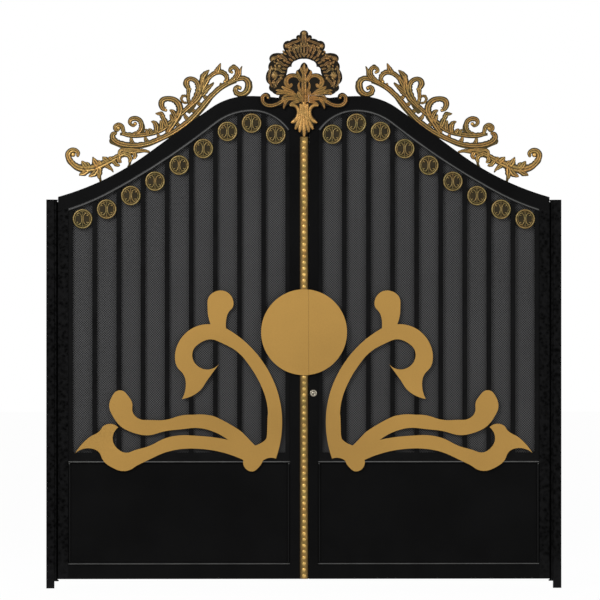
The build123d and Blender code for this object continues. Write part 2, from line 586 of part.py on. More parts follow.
def fan_points(shares):
    """Points of half the fan's outline, left of the centre, kept clear of the meeting line."""
    beyond = CREST_HALF_WIDTH - MEETING_OUT
    return [
        (-near * MEETING_OUT - far * beyond, CREST_BOTTOM + z * CREST_HEIGHT) for near, far, z in shares
    ]


# Crest: a base on both leaves, and the wreath above the rails on the left leaf
with BuildPart() as whole_base:
    with BuildSketch(front(0)):
        for route in CREST_ARM_SHARES:
            near, far = band_sides(route, 0, CREST_BOTTOM, -CREST_HALF_WIDTH, CREST_HEIGHT)
            with BuildLine():
                arc_run(near)
                Line(near[-1], far[-1])
                arc_run(far)
                Line(far[0], near[0])
            make_face()
        with BuildLine():
            for run in CREST_LEAF_SHARES:
                arc_run(crest_points(run))
            Line(crest_points(CREST_LEAF_SHARES[-1])[-1], crest_points(CREST_LEAF_SHARES[0])[0])
        make_face()
        with BuildLine():
            for run in CREST_FAN_SHARES:
                arc_run(fan_points(run))
            Line(fan_points(CREST_FAN_SHARES[-1])[-1], fan_points(CREST_FAN_SHARES[0])[0])
        make_face()
        mirror(about=Plane.YZ)
    extrude(amount=CREST_THICKNESS)
with BuildPart() as left_crest:
    add(whole_base.part)
    add(right_side.part, mode=Mode.SUBTRACT)
with BuildPart() as right_crest:
    add(whole_base.part)
    add(left_side.part, mode=Mode.SUBTRACT)

with BuildPart() as crest_wreath:
    with BuildSketch(front(0)):
        with BuildLine():
            for run in WREATH_SHARES:
                arc_run(crest_points(run))
            Polyline(crest_points(WREATH_FOOT_SHARES))
            Line(crest_points(WREATH_FOOT_SHARES)[-1], crest_points(WREATH_SHARES[0])[0])
        make_face()
        with BuildLine():
            for run in WREATH_OPENING_SHARES:
                arc_run(crest_points(run))
            Line(crest_points(WREATH_OPENING_SHARES[-1])[-1], crest_points(WREATH_OPENING_SHARES[0])[0])
        make_face(mode=Mode.SUBTRACT)
        mirror(about=Plane.YZ)
        with BuildLine():
            Polyline(crest_points(WREATH_WEB_SHARES), close=True)
        make_face()
    extrude(amount=CREST_THICKNESS)
    add(left_crest.part, mode=Mode.SUBTRACT)

# The cut scroll plate comes from one closed outline of smooth runs between corners
PLATE_RUN_SHARES = (
    ((0.6546, 0.811), (0.6400, 0.885), (0.6550, 0.975), (0.7480, 0.975), (0.7650, 0.927),
     (0.7330, 0.856), (0.7286, 0.789)),
    ((0.7286, 0.789), (0.9070, 0.604), (0.9930, 0.368), (1.0000, 0.267), (0.9700, 0.070)),
    ((0.9700, 0.070), (0.9310, 0.073), (0.9066, 0.059)),
    ((0.9066, 0.059), (0.8930, 0.030), (0.8510, 0.000), (0.8150, 0.030), (0.8128, 0.063)),
    ((0.8128, 0.063), (0.6500, 0.119), (0.4720, 0.116), (0.3140, 0.042), (0.2450, 0.003),
     (0.1560, 0.037), (0.0920, 0.123), (0.0000, 0.101)),
    ((0.0000, 0.101), (0.0620, 0.183), (0.1170, 0.222), (0.1410, 0.254), (0.2075, 0.243)),
    ((0.2075, 0.243), (0.1810, 0.191), (0.2200, 0.112), (0.3190, 0.127), (0.4720, 0.194),
     (0.6200, 0.194), (0.7388, 0.174)),
    ((0.7388, 0.174), (0.6300, 0.233), (0.4720, 0.228), (0.3140, 0.203), (0.2000, 0.273),
     (0.1690, 0.391), (0.2150, 0.447), (0.2650, 0.402), (0.2890, 0.306), (0.3930, 0.282),
     (0.5610, 0.312), (0.7290, 0.261), (0.8620, 0.141), (0.9110, 0.166), (0.9310, 0.334),
     (0.8720, 0.531), (0.7440, 0.688), (0.6250, 0.721), (0.5656, 0.646), (0.6200, 0.564),
     (0.6990, 0.598)),
    ((0.6990, 0.598), (0.6450, 0.514), (0.5980, 0.441), (0.5160, 0.399)),
    ((0.5160, 0.399), (0.5330, 0.503), (0.4840, 0.604), (0.5310, 0.759), (0.6546, 0.811)),
)
with BuildPart() as left_scroll_plate:
    with BuildSketch(front(BAR_RECESS)):
        with BuildLine():
            for run in PLATE_RUN_SHARES:
                arc_run([(PLATE_LEFT + x * PLATE_WIDTH, PLATE_BOTTOM + z * PLATE_HEIGHT) for x, z in run])
        make_face()
    extrude(amount=PLATE_THICKNESS)

# Right side pieces are the left ones mirrored about the gate's middle
MIDDLE = Plane(origin=(CENTRE_X, 0, 0), x_dir=(0, 1, 0), z_dir=(1, 0, 0))
mirrored = {
    "post": left_post, "pivots": left_pivots, "heel_tube": left_heel_tube,
    "hinge_stile": left_hinge_stile, "meeting_stile": left_meeting_stile,
    "top_rail": left_top_rail, "mid_rail": left_mid_rail, "bottom_rail": left_bottom_rail,
    "bars": left_bars, "infill_sheet": left_infill_sheet, "kick_panel": left_kick_panel,
    "panel_bead": left_panel_bead, "top_bead": left_top_bead, "rondels": left_rondels,
    "scroll_plate": left_scroll_plate, "upper_spray": left_upper_spray,
    "lower_sprig": left_lower_sprig,
}
single = {
    "meeting_bar": meeting_bar, "bead_strip": bead_strip, "meeting_lip": meeting_lip,
    "left_disc": left_disc, "right_disc": right_disc, "lock_rose": lock_rose,
    "left_crest": left_crest, "right_crest": right_crest, "crest_wreath": crest_wreath,
}

os.makedirs("parts", exist_ok=True)
for name, piece in mirrored.items():
    with BuildPart() as other:
        mirror(piece.part, about=MIDDLE)
    piece.part.label = "left_" + name
    export_step(piece.part, "parts/left_" + name + ".step")
    other.part.label = "right_" + name
    export_step(other.part, "parts/right_" + name + ".step")
for name, piece in single.items():
    piece.part.label = name
    export_step(piece.part, "parts/" + name + ".step")
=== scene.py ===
import functools
import math

import bmesh
import bpy
import numpy as np
from mathutils import Matrix, Vector


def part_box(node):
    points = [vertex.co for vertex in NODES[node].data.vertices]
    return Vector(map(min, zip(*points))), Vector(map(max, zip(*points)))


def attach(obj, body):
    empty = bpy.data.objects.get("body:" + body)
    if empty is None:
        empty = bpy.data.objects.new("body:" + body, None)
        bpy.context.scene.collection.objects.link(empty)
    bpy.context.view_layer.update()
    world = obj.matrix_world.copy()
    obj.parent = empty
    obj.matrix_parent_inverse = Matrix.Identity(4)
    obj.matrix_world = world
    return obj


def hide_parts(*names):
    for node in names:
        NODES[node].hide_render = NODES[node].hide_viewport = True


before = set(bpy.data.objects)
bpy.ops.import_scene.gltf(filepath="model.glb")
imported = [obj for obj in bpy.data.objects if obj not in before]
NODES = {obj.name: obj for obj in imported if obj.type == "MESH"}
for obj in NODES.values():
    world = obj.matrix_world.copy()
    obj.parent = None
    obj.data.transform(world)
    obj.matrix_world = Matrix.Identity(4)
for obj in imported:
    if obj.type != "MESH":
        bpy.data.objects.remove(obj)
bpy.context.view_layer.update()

bl_info = {
    "name": "Double-Leaf Ornamental Gate",
    "version": (1, 0, 0),
    "blender": (4, 5, 0),
    "location": "3D View > Sidebar > Gate",
    "description": "Dresses the gate's frame with its castings, beads, rondels and finishes",
    "category": "Object",
}

MM = 0.001
# Middle of the gate, front of the leaves and edges of the meeting line, read from the frame
CENTRE = (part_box("bead_strip")[0].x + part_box("bead_strip")[1].x) / 2
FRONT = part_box("left_hinge_stile")[0].y
LEFT_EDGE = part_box("left_crest")[1].x
RIGHT_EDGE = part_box("right_crest")[0].x
# How far the castings reach over each edge of the meeting line
LAP = 2.3 * MM
# Height of the panel bead's top and bottom runs, with a little to spare
BEAD_RUN = 16 * MM
# Share of those runs, from the outer edge, that carries the painted highlight
HIGHLIGHT_SHARE = 0.6
# Picture places: column of the gate's middle, row of the ground, and millimetres to a step
PICTURE_MIDDLE, PICTURE_GROUND, PICTURE_SCALE = 304, 588, 5.825
# Least half width of a swept bar, in millimetres
LEAST_HALF = 0.4
# Distances under which mesh points merge, and under which a point lies on the meeting line's edge
MERGE, EDGE_NEAR = 0.00002, 0.0003
# Depths, in front of the leaves, between which the crest's ground turns to plain metal
CAST_FRONT, CAST_REAR = 13 * MM, 4 * MM
# Turn under which faces count as one plane, and turn over which a plate's edge is eased
FLAT_TURN, EASED_TURN = math.radians(1.0), math.radians(60)
# Depth share of a normal under which its face looks to the front
FACING_FRONT = -0.99


class GateSizes(bpy.types.PropertyGroup):
    """Sizes of the dressed pieces"""
    bead_pitch: bpy.props.FloatProperty(
        name="Bead Pitch", description="Distance between beads on the centre strip",
        default=0.0351, min=0.01, unit="LENGTH")
    bead_width: bpy.props.FloatProperty(
        name="Bead Width", description="Width of a bead on the centre strip",
        default=0.028, min=0.005, unit="LENGTH")
    rondel_wire: bpy.props.FloatProperty(
        name="Rondel Wire", description="Radius of the rondel's scroll wire",
        default=0.0034, min=0.001, unit="LENGTH")
    mesh_pitch: bpy.props.FloatProperty(
        name="Mesh Pitch", description="Distance between perforations along a row",
        default=0.0140, min=0.004, unit="LENGTH")
    bud_size: bpy.props.FloatProperty(
        name="Bud Size", description="Radius of the buds on the crest's wreath",
        default=0.0150, min=0.004, unit="LENGTH")
    cast_depth: bpy.props.FloatProperty(
        name="Casting Depth", description="Half thickness of the slope castings",
        default=0.010, min=0.002, unit="LENGTH")
    leaf_spread: bpy.props.FloatProperty(
        name="Leaf Spread", description="Share by which the leaves of the slope castings open out",
        default=1.18, min=0.5, max=1.5)


class GateColours(bpy.types.PropertyGroup):
    """Colours of the finishes"""
    black: bpy.props.FloatVectorProperty(
        name="Black Paint", description="Frame, rails and panels", subtype="COLOR", size=3,
        default=(0.0028, 0.0028, 0.0029), min=0.0, max=1.0)
    # Grey of the painted highlight along the beads' crowns; the beads are black elsewhere
    bead_grey: bpy.props.FloatVectorProperty(
        name="Bead Paint", description="Beads along the rails and panels", subtype="COLOR", size=3,
        default=(0.082, 0.082, 0.080), min=0.0, max=1.0)
    mesh: bpy.props.FloatVectorProperty(
        name="Mesh", description="Perforated sheet behind the bars", subtype="COLOR", size=3,
        default=(0.052, 0.052, 0.053), min=0.0, max=1.0)
    sheet_gold: bpy.props.FloatVectorProperty(
        name="Sheet Gold", description="Disc and cut scroll plates", subtype="COLOR", size=3,
        default=(0.365, 0.207, 0.048), min=0.0, max=1.0)
    strip_gold: bpy.props.FloatVectorProperty(
        name="Strip Gold", description="Beaded strip", subtype="COLOR", size=3,
        default=(0.40, 0.262, 0.082), min=0.0, max=1.0)
    cast_gold: bpy.props.FloatVectorProperty(
        name="Cast Gold", description="Palmette, fan and arms of the crest", subtype="COLOR", size=3,
        default=(0.262, 0.143, 0.041), min=0.0, max=1.0)
    spray_gold: bpy.props.FloatVectorProperty(
        name="Spray Gold", description="Sprays and sprigs", subtype="COLOR", size=3,
        default=(0.34, 0.208, 0.064), min=0.0, max=1.0)
    rondel_gold: bpy.props.FloatVectorProperty(
        name="Rondel Gold", description="Rings and scrolls of the rondels", subtype="COLOR", size=3,
        default=(0.168, 0.122, 0.044), min=0.0, max=1.0)
    wreath_gold: bpy.props.FloatVectorProperty(
        name="Wreath Gold", description="Darker gilding on the wreath", subtype="COLOR", size=3,
        default=(0.180, 0.105, 0.033), min=0.0, max=1.0)
    steel: bpy.props.FloatVectorProperty(
        name="Steel", description="Lock rose", subtype="COLOR", size=3,
        default=(0.285, 0.255, 0.205), min=0.0, max=1.0)


class GateStage(bpy.types.PropertyGroup):
    """Camera and light"""
    camera_distance: bpy.props.FloatProperty(
        name="Camera Distance", description="Distance of the camera from the gate",
        default=38.0, min=5.0, unit="LENGTH")
    camera_turn: bpy.props.FloatProperty(
        name="Camera Turn", description="How far the camera stands to the left of square",
        default=math.radians(1.4), unit="ROTATION")
    view_width: bpy.props.FloatProperty(
        name="View Width", description="Width of the view at the gate",
        default=3.495, min=1.0, unit="LENGTH")
    key_power: bpy.props.FloatProperty(
        name="Key Power", description="Power of the main lamp", default=290.0, min=0.0, unit="POWER")


# Mesh helpers

def at(x, depth, z):
    """Place in metres from the gate's middle, the leaf front and the ground, given in millimetres."""
    return (CENTRE + x * MM, FRONT + depth * MM, z * MM)


def from_pixels(route):
    """Route in picture places and half widths turned to millimetres from the middle and the ground."""
    return np.array([(x - PICTURE_MIDDLE, PICTURE_GROUND - y, half) for x, y, half in route]) * PICTURE_SCALE


def both(route):
    """A route and its mirror image about the gate's middle."""
    route = np.asarray(route, float)
    return route, route * (-1, 1, 1)


def curved(points, steps):
    """Smooth line through the points, with their widths."""
    points = np.asarray(points, float)
    ends = np.vstack((2 * points[0] - points[1], points, 2 * points[-1] - points[-2]))
    ends[:, 2] = np.maximum(ends[:, 2], LEAST_HALF)
    t = np.linspace(0, 1, steps, endpoint=False)[:, None]
    made = []
    for a, b, c, d in zip(ends, ends[1:], ends[2:], ends[3:]):
        made.append(0.5 * (2 * b + (c - a) * t + (2 * a - 5 * b + 4 * c - d) * t ** 2
                           + (3 * b - a - 3 * c + d) * t ** 3))
    made.append(points[-1:])
    return np.vstack(made)


def heading(line):
    """Direction of a line at each of its points."""
    run = np.gradient(line[:, :2], axis=0)
    return run / np.maximum(np.linalg.norm(run, axis=1), 1e-9)[:, None]


def ring_faces(rings, around):
    """Faces between neighbouring rings of points."""
    return [(r * around + k, r * around + (k + 1) % around,
             (r + 1) * around + (k + 1) % around, (r + 1) * around + k)
            for r in range(rings - 1) for k in range(around)]


def closed_faces(rings, around):
    """Faces between neighbouring rings of points, with both ends closed."""
    last = (rings - 1) * around
    return ring_faces(rings, around) + [tuple(range(around)), tuple(range(last, last + around))]


class Moulding:
    """Gathers closed shapes into one mesh with a ridge attribute: one on crowns, zero in recesses, at edges and
    behind; the finishes paint it as painted highlight and painted shade.
    """

    # Points around a swept bar, and where its crown starts to fall towards the edge
    around, shoulder = 20, 0.4
    # Width of a bar's vein, height of its thinnest stretch, and the reach and ridge of its tips
    vein_width, thin_rise, tip_reach, tip_ridge = 0.28, 0.45, 0.6, 0.35
    # Roundness of the lobes along an edge, and how far their notches cut in
    lobe_power, lobe_notch = 0.6, 0.35
    # Depth of the grooves between petals, and how soon a knob's flank counts as crown
    groove_depth, knob_crown = 0.35, 1.15

    def __init__(self):
        self.places, self.faces, self.ridge = [], [], []

    def add(self, places, faces, ridge):
        start = len(self.places)
        self.places += [at(*place) for place in places]
        self.faces += [[start + index for index in face] for face in faces]
        self.ridge += list(ridge)

    def crown(self, reach, vein):
        """Ridge across a swept bar: highest on either side of its vein, nothing at its edges, so the edges and
        the vein are painted darker, as wax and painted shade.
        """
        if reach < self.shoulder:
            return 1 - vein * (1 - reach / self.shoulder) ** 2
        return 1 - (reach - self.shoulder) / (1 - self.shoulder)

    def sweep(self, route, depth, front, back, steps=5, lobes=0, lobe=0.0, vein=0.0, edge=0):
        """Tapered bar along a route, domed in front and flatter behind, with a vein and lobed edges.

        edge lobes only the left side of the route at 1 and both sides at 0."""
        line = curved(route, steps)
        run = heading(line)
        side = np.stack((-run[:, 1], run[:, 0]), 1)
        share = np.linspace(0, 1, len(line))
        half = np.maximum(line[:, 2], LEAST_HALF)
        waves = np.abs(np.sin(math.pi * lobes * share)) ** self.lobe_power
        scallop = lobe * (waves - self.lobe_notch) if lobes else share * 0
        widest = half.max()
        places, ridge = [], []
        for (x, z, _), (sx, sz), width, bulge in zip(line, side, half, scallop):
            tall = self.thin_rise + (1 - self.thin_rise) * width / widest
            for angle in np.arange(self.around) * 2 * math.pi / self.around:
                u, v = math.cos(angle), math.sin(angle)
                dip = 1 - vein * math.exp(-(u / self.vein_width) ** 2)
                lift = front * tall * v * dip if v > 0 else back * v
                wide = width * (1 + bulge * (1.0 if u * edge >= 0 else 0.0)) * u
                places.append((x + sx * wide, depth - lift, z + sz * wide))
                # the back gets ridge zero and is painted dark as painted shade
                ridge.append(self.crown(abs(u), vein) if v > 0 else 0.0)
        count = len(line)
        faces = ring_faces(count, self.around)
        for end, direction in ((0, -1), (count - 1, 1)):
            x, z, _ = line[end]
            push = half[end] * self.tip_reach * direction
            places.append((x + run[end][0] * push, depth, z + run[end][1] * push))
            ridge.append(self.tip_ridge)
            tip = len(places) - 1
            for k in range(self.around):
                pair = (end * self.around + k, end * self.around + (k + 1) % self.around)
                faces.append((*pair, tip) if direction > 0 else (pair[1], pair[0], tip))
        self.add(places, faces, ridge)

    def knob(self, x, z, depth, radius, tall, back=4.0, around=14, rings=5, petals=0, cut=0.0):
        """Domed boss, round or petalled, with its back closed."""
        places, ridge = [], []
        for ring in range(rings + 1):
            slope = ring / rings * math.pi / 2
            for k in range(around):
                angle = k * 2 * math.pi / around
                wave = math.cos(petals * angle)
                reach = radius * math.cos(slope) * (1 + cut * wave * math.cos(slope))
                groove = 1 - self.groove_depth * cut * (1 - wave) * math.cos(slope)
                places.append((x + reach * math.cos(angle), depth - tall * math.sin(slope) * groove,
                               z + reach * math.sin(angle)))
                # ridge rises to the dome's top, so its flanks and the grooves between petals are painted
                # darker, as wax and painted shade
                ridge.append(min(1.0, math.sin(slope) * self.knob_crown) * groove)
        places.append((x, depth + back, z))
        ridge.append(0.0)
        foot = [((k + 1) % around, k, len(places) - 1) for k in range(around)]
        self.add(places, ring_faces(rings + 1, around) + foot, ridge)

    def mesh(self, name, flip=False):
        """The gathered mesh, mirrored about the gate's middle if asked, with normals outward."""
        made = bpy.data.meshes.new(name)
        places = [(2 * CENTRE - x, y, z) for x, y, z in self.places] if flip else self.places
        made.from_pydata(places, [], self.faces)
        made.attributes.new("ridge", "FLOAT", "POINT").data.foreach_set(
            "value", np.array(self.ridge, np.float32))
        return tidy(made)


def opened(mesh):
    """Editable copy of a mesh."""
    shape = bmesh.new()
    shape.from_mesh(mesh)
    return shape


def written(shape, mesh):
    """Writes an edited copy into a mesh."""
    shape.to_mesh(mesh)
    shape.free()
    return mesh


def shaded(mesh, smooth):
    """Shades every face smooth or flat."""
    for face in mesh.polygons:
        face.use_smooth = smooth
    return mesh


def tidy(mesh, merge=MERGE):
    """Merges doubles, turns the faces of each closed shell outward and shades them smooth."""
    shape = opened(mesh)
    bmesh.ops.remove_doubles(shape, verts=shape.verts, dist=merge)
    bmesh.ops.recalc_face_normals(shape, faces=shape.faces)
    return shaded(written(shape, mesh), True)


def cut_mesh(mesh, place, normal):
    """Keeps the part of a mesh behind a plane and closes the cut."""
    shape = opened(mesh)
    geometry = shape.verts[:] + shape.edges[:] + shape.faces[:]
    cut = bmesh.ops.bisect_plane(shape, geom=geometry, plane_co=place, plane_no=normal, clear_outer=True)
    edges = [item for item in cut["geom_cut"] if isinstance(item, bmesh.types.BMEdge)]
    bmesh.ops.holes_fill(shape, edges=edges, sides=0)
    bmesh.ops.recalc_face_normals(shape, faces=shape.faces)
    written(shape, mesh)


def linked(name, data):
    """New object in the scene."""
    made = bpy.data.objects.new(name, data)
    bpy.context.scene.collection.objects.link(made)
    return made


def scrap(*spent):
    """Removes helper objects and their meshes."""
    for item in spent:
        mesh = item.data
        bpy.data.objects.remove(item)
        bpy.data.meshes.remove(mesh)


def evaluated(host, **settings):
    """Plain mesh of an object with its modifiers applied."""
    graph = bpy.context.evaluated_depsgraph_get()
    return bpy.data.meshes.new_from_object(host.evaluated_get(graph), depsgraph=graph, **settings)


def piece(name, mesh, material, body, replaced=()):
    """Shows a finished mesh as a piece that rides a body."""
    made = linked(name, mesh)
    if material is not None:
        mesh.materials.clear()
        mesh.materials.append(material)
    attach(made, body)
    if replaced:
        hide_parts(*replaced)


def web_object(node, route):
    """Flat filling of a plate's inner corner, as thick as the plate, on the plate's own side of the gate."""
    low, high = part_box(node)
    side = -1 if low.x > CENTRE else 1
    corners = [(CENTRE + side * x * MM, z * MM) for x, z, _ in curved(from_pixels(route), steps=3)]
    mesh = bpy.data.meshes.new("web")
    mesh.from_pydata([(x, y, z) for y in (low.y, high.y) for x, z in corners], [],
                     closed_faces(2, len(corners)))
    return linked("web", tidy(mesh))


def planed(node):
    """Editable copy of a CAD node with its flat faces joined."""
    shape = opened(NODES[node].data)
    bmesh.ops.remove_doubles(shape, verts=shape.verts, dist=MERGE)
    bmesh.ops.dissolve_limit(shape, angle_limit=FLAT_TURN, verts=shape.verts, edges=shape.edges)
    return shape


def node_plate(node, ease, webs=()):
    """Copy of a flat CAD plate with its corners filled and its edges eased, as a plain mesh."""
    host = linked(node + "_host", written(planed(node), bpy.data.meshes.new(node + "_plate")))
    fillings = [web_object(node, route) for route in webs]
    for filling in fillings:
        join = host.modifiers.new("Web", "BOOLEAN")
        join.operation, join.solver, join.object = "UNION", "EXACT", filling
    bevel = host.modifiers.new("Ease", "BEVEL")
    bevel.width, bevel.segments = ease, 2
    bevel.limit_method, bevel.angle_limit = "ANGLE", EASED_TURN
    made = evaluated(host)
    scrap(host, *fillings)
    made.materials.clear()
    return shaded(made, False)


def bead_form(node, inset, lift, rise=0.0, proud=0.0):
    """Copy of a CAD bead whose front is drawn in to a raised crown.

    rise and proud set its top run higher and further out."""
    shape = planed(node)
    ridge = shape.verts.layers.float.new("ridge")
    shape.normal_update()
    front = [face for face in shape.faces if face.normal.y < FACING_FRONT]
    bmesh.ops.inset_region(shape, faces=front, thickness=inset, use_even_offset=True)
    # the crown gets ridge one, where the bead paint puts its painted highlight
    for vert in {vert for face in front for vert in face.verts}:
        vert.co.y -= lift
        vert[ridge] = 1.0
    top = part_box(node)[1].z
    for vert in shape.verts:
        if rise and top - vert.co.z < BEAD_RUN:
            vert.co += Vector((0.0, -proud, rise))
    return written(shape, bpy.data.meshes.new(node + "_bead"))


def node_copy(node):
    """Copy of a CAD node's mesh without its materials."""
    made = NODES[node].data.copy()
    made.materials.clear()
    return made


def thickened(node, factor):
    """Copy of an upright CAD tube, thicker about its own axis."""
    made = node_copy(node)
    middle = (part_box(node)[0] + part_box(node)[1]) / 2
    spread = Matrix.Diagonal((factor, factor, 1.0, 1.0))
    made.transform(Matrix.Translation(middle) @ spread @ Matrix.Translation(-middle))
    return tidy(made)


def lapped(node, edge, reach):
    """Copy of a CAD plate whose straight edge at the meeting line reaches further over it."""
    made = node_copy(node)
    for vertex in made.vertices:
        if abs(vertex.co.x - edge) < EDGE_NEAR:
            vertex.co.x += reach
    return shaded(tidy(made), False)


# Node tree helpers

class Tree:
    """Small writer for node trees."""

    def __init__(self, tree):
        self.tree = tree

    def add(self, kind, inputs=None, **settings):
        """New node with its inputs linked or set."""
        made = self.tree.nodes.new(kind)
        for key, value in settings.items():
            setattr(made, key, value)
        for key, value in (inputs or {}).items():
            sources = value if isinstance(value, list) else [value]
            for source in sources:
                if isinstance(source, bpy.types.NodeSocket):
                    self.tree.links.new(source, made.inputs[key])
                else:
                    made.inputs[key].default_value = source
        return made

    def out(self, kind, inputs=None, **settings):
        """First output of a new node."""
        return self.add(kind, inputs, **settings).outputs[0]

    def geo(self, kind, inputs=None, **settings):
        """First output of a new geometry node."""
        return self.out("GeometryNode" + kind, inputs, **settings)

    def math(self, operation, first, second=0.0):
        return self.out("ShaderNodeMath", {0: first, 1: second}, operation=operation)

    def times(self, first, second):
        return self.math("MULTIPLY", first, second)

    def vector(self, x=0.0, y=0.0, z=0.0):
        return self.out("ShaderNodeCombineXYZ", {0: x, 1: y, 2: z})

    def split(self, vector):
        """Outputs X, Y and Z of a vector."""
        return self.add("ShaderNodeSeparateXYZ", {0: vector}).outputs

    def ranged(self, value, low, high, start=0.0, end=1.0):
        """Value mapped from one range to another, clamped."""
        return self.out("ShaderNodeMapRange", {0: value, 1: low, 2: high, 3: start, 4: end})

    def noise(self, vector, scale, detail, roughness=0.5):
        """Outputs Factor and Color of a noise texture."""
        return self.add("ShaderNodeTexNoise", {"Vector": vector, "Scale": scale, "Detail": detail,
                                               "Roughness": roughness}).outputs


def new_tree(name, kind, given, inputs, outputs):
    """New node tree with named sockets; gives its writer and its inputs.

    given is the kind of its first socket, and each input has a label, a kind and a starting value."""
    tree = bpy.data.node_groups.new(name, kind)
    tree.interface.new_socket(given, in_out="INPUT", socket_type="NodeSocket" + given)
    for label, socket, value in inputs:
        made = tree.interface.new_socket(label, in_out="INPUT", socket_type="NodeSocket" + socket)
        if value is not None:
            made.default_value = value
    for label, socket in outputs:
        tree.interface.new_socket(label, in_out="OUTPUT", socket_type="NodeSocket" + socket)
    writer = Tree(tree)
    return writer, writer.add("NodeGroupInput").outputs


def geometry_tree(name, inputs):
    """New Geometry Nodes tree; gives its writer and its inputs."""
    return new_tree(name, "GeometryNodeTree", "Geometry", inputs, (("Geometry", "Geometry"),))


def shader_group(name, inputs, outputs):
    """New shader group of plain values; gives its writer and its inputs."""
    return new_tree(name, "ShaderNodeTree", "Vector", [(label, "Float", value) for label, value in inputs],
                    [(label, "Float") for label in outputs])


def close_tree(writer, geometry, material):
    """Realizes the instances, sets ridge from how far each face looks to the front, which the finishes paint as
    light and shade, shades and outputs them.
    """
    real = writer.geo("RealizeInstances", {"Geometry": geometry})
    facing = writer.split(writer.geo("InputNormal"))["Y"]
    ridge = writer.out("ShaderNodeMath", {0: facing, 1: -1.0}, operation="MULTIPLY", use_clamp=True)
    stored = writer.geo("StoreNamedAttribute", {"Geometry": real, "Name": "ridge", "Value": ridge},
                        data_type="FLOAT", domain="POINT")
    smooth = writer.geo("SetShadeSmooth", {"Geometry": stored})
    painted = writer.geo("SetMaterial", {"Geometry": smooth, "Material": material})
    writer.add("NodeGroupOutput", {"Geometry": painted})
    return writer.tree


def grown(name, mesh, tree, values):
    """Plain mesh that a tree makes from a mesh and its input values."""
    host = linked(name + "_host", mesh)
    modifier = host.modifiers.new("Growth", "NODES")
    modifier.node_group = tree
    for item in tree.interface.items_tree:
        if item.in_out == "INPUT" and item.name in values:
            modifier[item.identifier] = values[item.name]
    made = evaluated(host, preserve_all_data_layers=True)
    made.name = name
    host.modifiers.clear()
    scrap(host)
    if not made.polygons:
        raise RuntimeError(name + " came out empty")
    return made


def point_mesh(name, places, edges=()):
    """Mesh of loose points or of lines."""
    made = bpy.data.meshes.new(name)
    made.from_pydata([tuple(place) for place in places], list(edges), [])
    return made


# Shader groups

def grain_group():
    """Broad cloudiness and fine tooth of sprayed paint or rolled sheet."""
    writer, given = shader_group("Gate Grain", (("Scale", 60.0), ("Broad", 3.0)), ("Mask", "Height"))
    fine = writer.noise(given["Vector"], given["Scale"], 4.0, 0.6)[0]
    broad = writer.noise(given["Vector"], given["Broad"], 3.0)[0]
    cloud = writer.math("ADD", writer.times(fine, 0.4), writer.times(broad, 0.6))
    writer.add("NodeGroupOutput", {"Mask": writer.ranged(cloud, 0.35, 0.65), "Height": fine})
    return writer.tree


def hammered_group():
    """Pebbled hammer finish."""
    writer, given = shader_group("Gate Hammered", (("Scale", 55.0),), ("Mask", "Height"))
    bend = writer.noise(given["Vector"], 18.0, 2.0)[1]
    moved = writer.out("ShaderNodeVectorMath", {0: bend, 3: 0.02}, operation="SCALE")
    place = writer.out("ShaderNodeVectorMath", {0: given["Vector"], 1: moved}, operation="ADD")
    cells = writer.out("ShaderNodeTexVoronoi", {"Vector": place, "Scale": given["Scale"]},
                       feature="SMOOTH_F1")
    fine = writer.noise(given["Vector"], 120.0, 3.0)[0]
    height = writer.math("ADD", cells, writer.times(fine, 0.35))
    writer.add("NodeGroupOutput", {"Mask": writer.ranged(height, 0.30, 0.80), "Height": height})
    return writer.tree


def perforation_group():
    """Staggered rows of small holes."""
    writer, given = shader_group("Gate Perforation", (("Pitch", 0.0125),), ("Hole", "Rim"))
    place = writer.split(given["Vector"])
    turn = writer.math("DIVIDE", math.tau, given["Pitch"])
    across, up = (writer.math("COSINE", writer.times(place[axis], turn)) for axis in ("X", "Z"))
    wave = writer.times(across, up)
    writer.add("NodeGroupOutput", {"Hole": writer.ranged(wave, 0.10, 0.55),
                                   "Rim": writer.ranged(wave, -0.85, 0.10, 1.0, 0.0)})
    return writer.tree


def patina_and_shade_group():
    """Dark wax and painted shade where the ridge is low, gold above it, and a painted highlight where it is
    highest.
    """
    writer, given = shader_group("Gate Patina", (("Ridge", 1.0), ("Scale", 40.0)), ("Gold", "Shine"))
    cloud = writer.noise(given["Vector"], given["Scale"], 5.0, 0.65)[0]
    spread = writer.times(writer.math("SUBTRACT", cloud, 0.5), 0.75)
    level = writer.math("ADD", given["Ridge"], spread)
    # Gold runs from dark wax and painted shade to gold; Shine marks the painted highlight
    writer.add("NodeGroupOutput", {"Gold": writer.ranged(level, 0.25, 0.85),
                                   "Shine": writer.ranged(level, 0.85, 1.30)})
    return writer.tree


def dust_group():
    """Pale road dust that thins out upwards."""
    writer, given = shader_group("Gate Dust", (("Reach", 0.30),), ("Mask",))
    height = writer.split(given["Vector"])["Z"]
    cloud = writer.noise(given["Vector"], 9.0, 5.0)[0]
    low = writer.math("SUBTRACT", 1.0, writer.math("DIVIDE", height, given["Reach"]))
    level = writer.math("ADD", low, writer.times(writer.math("SUBTRACT", cloud, 0.5), 1.2))
    writer.add("NodeGroupOutput", {"Mask": writer.ranged(level, 0.25, 1.3)})
    return writer.tree


@functools.cache
def shared(maker):
    """A shader group, made once."""
    return maker()


# Finishes

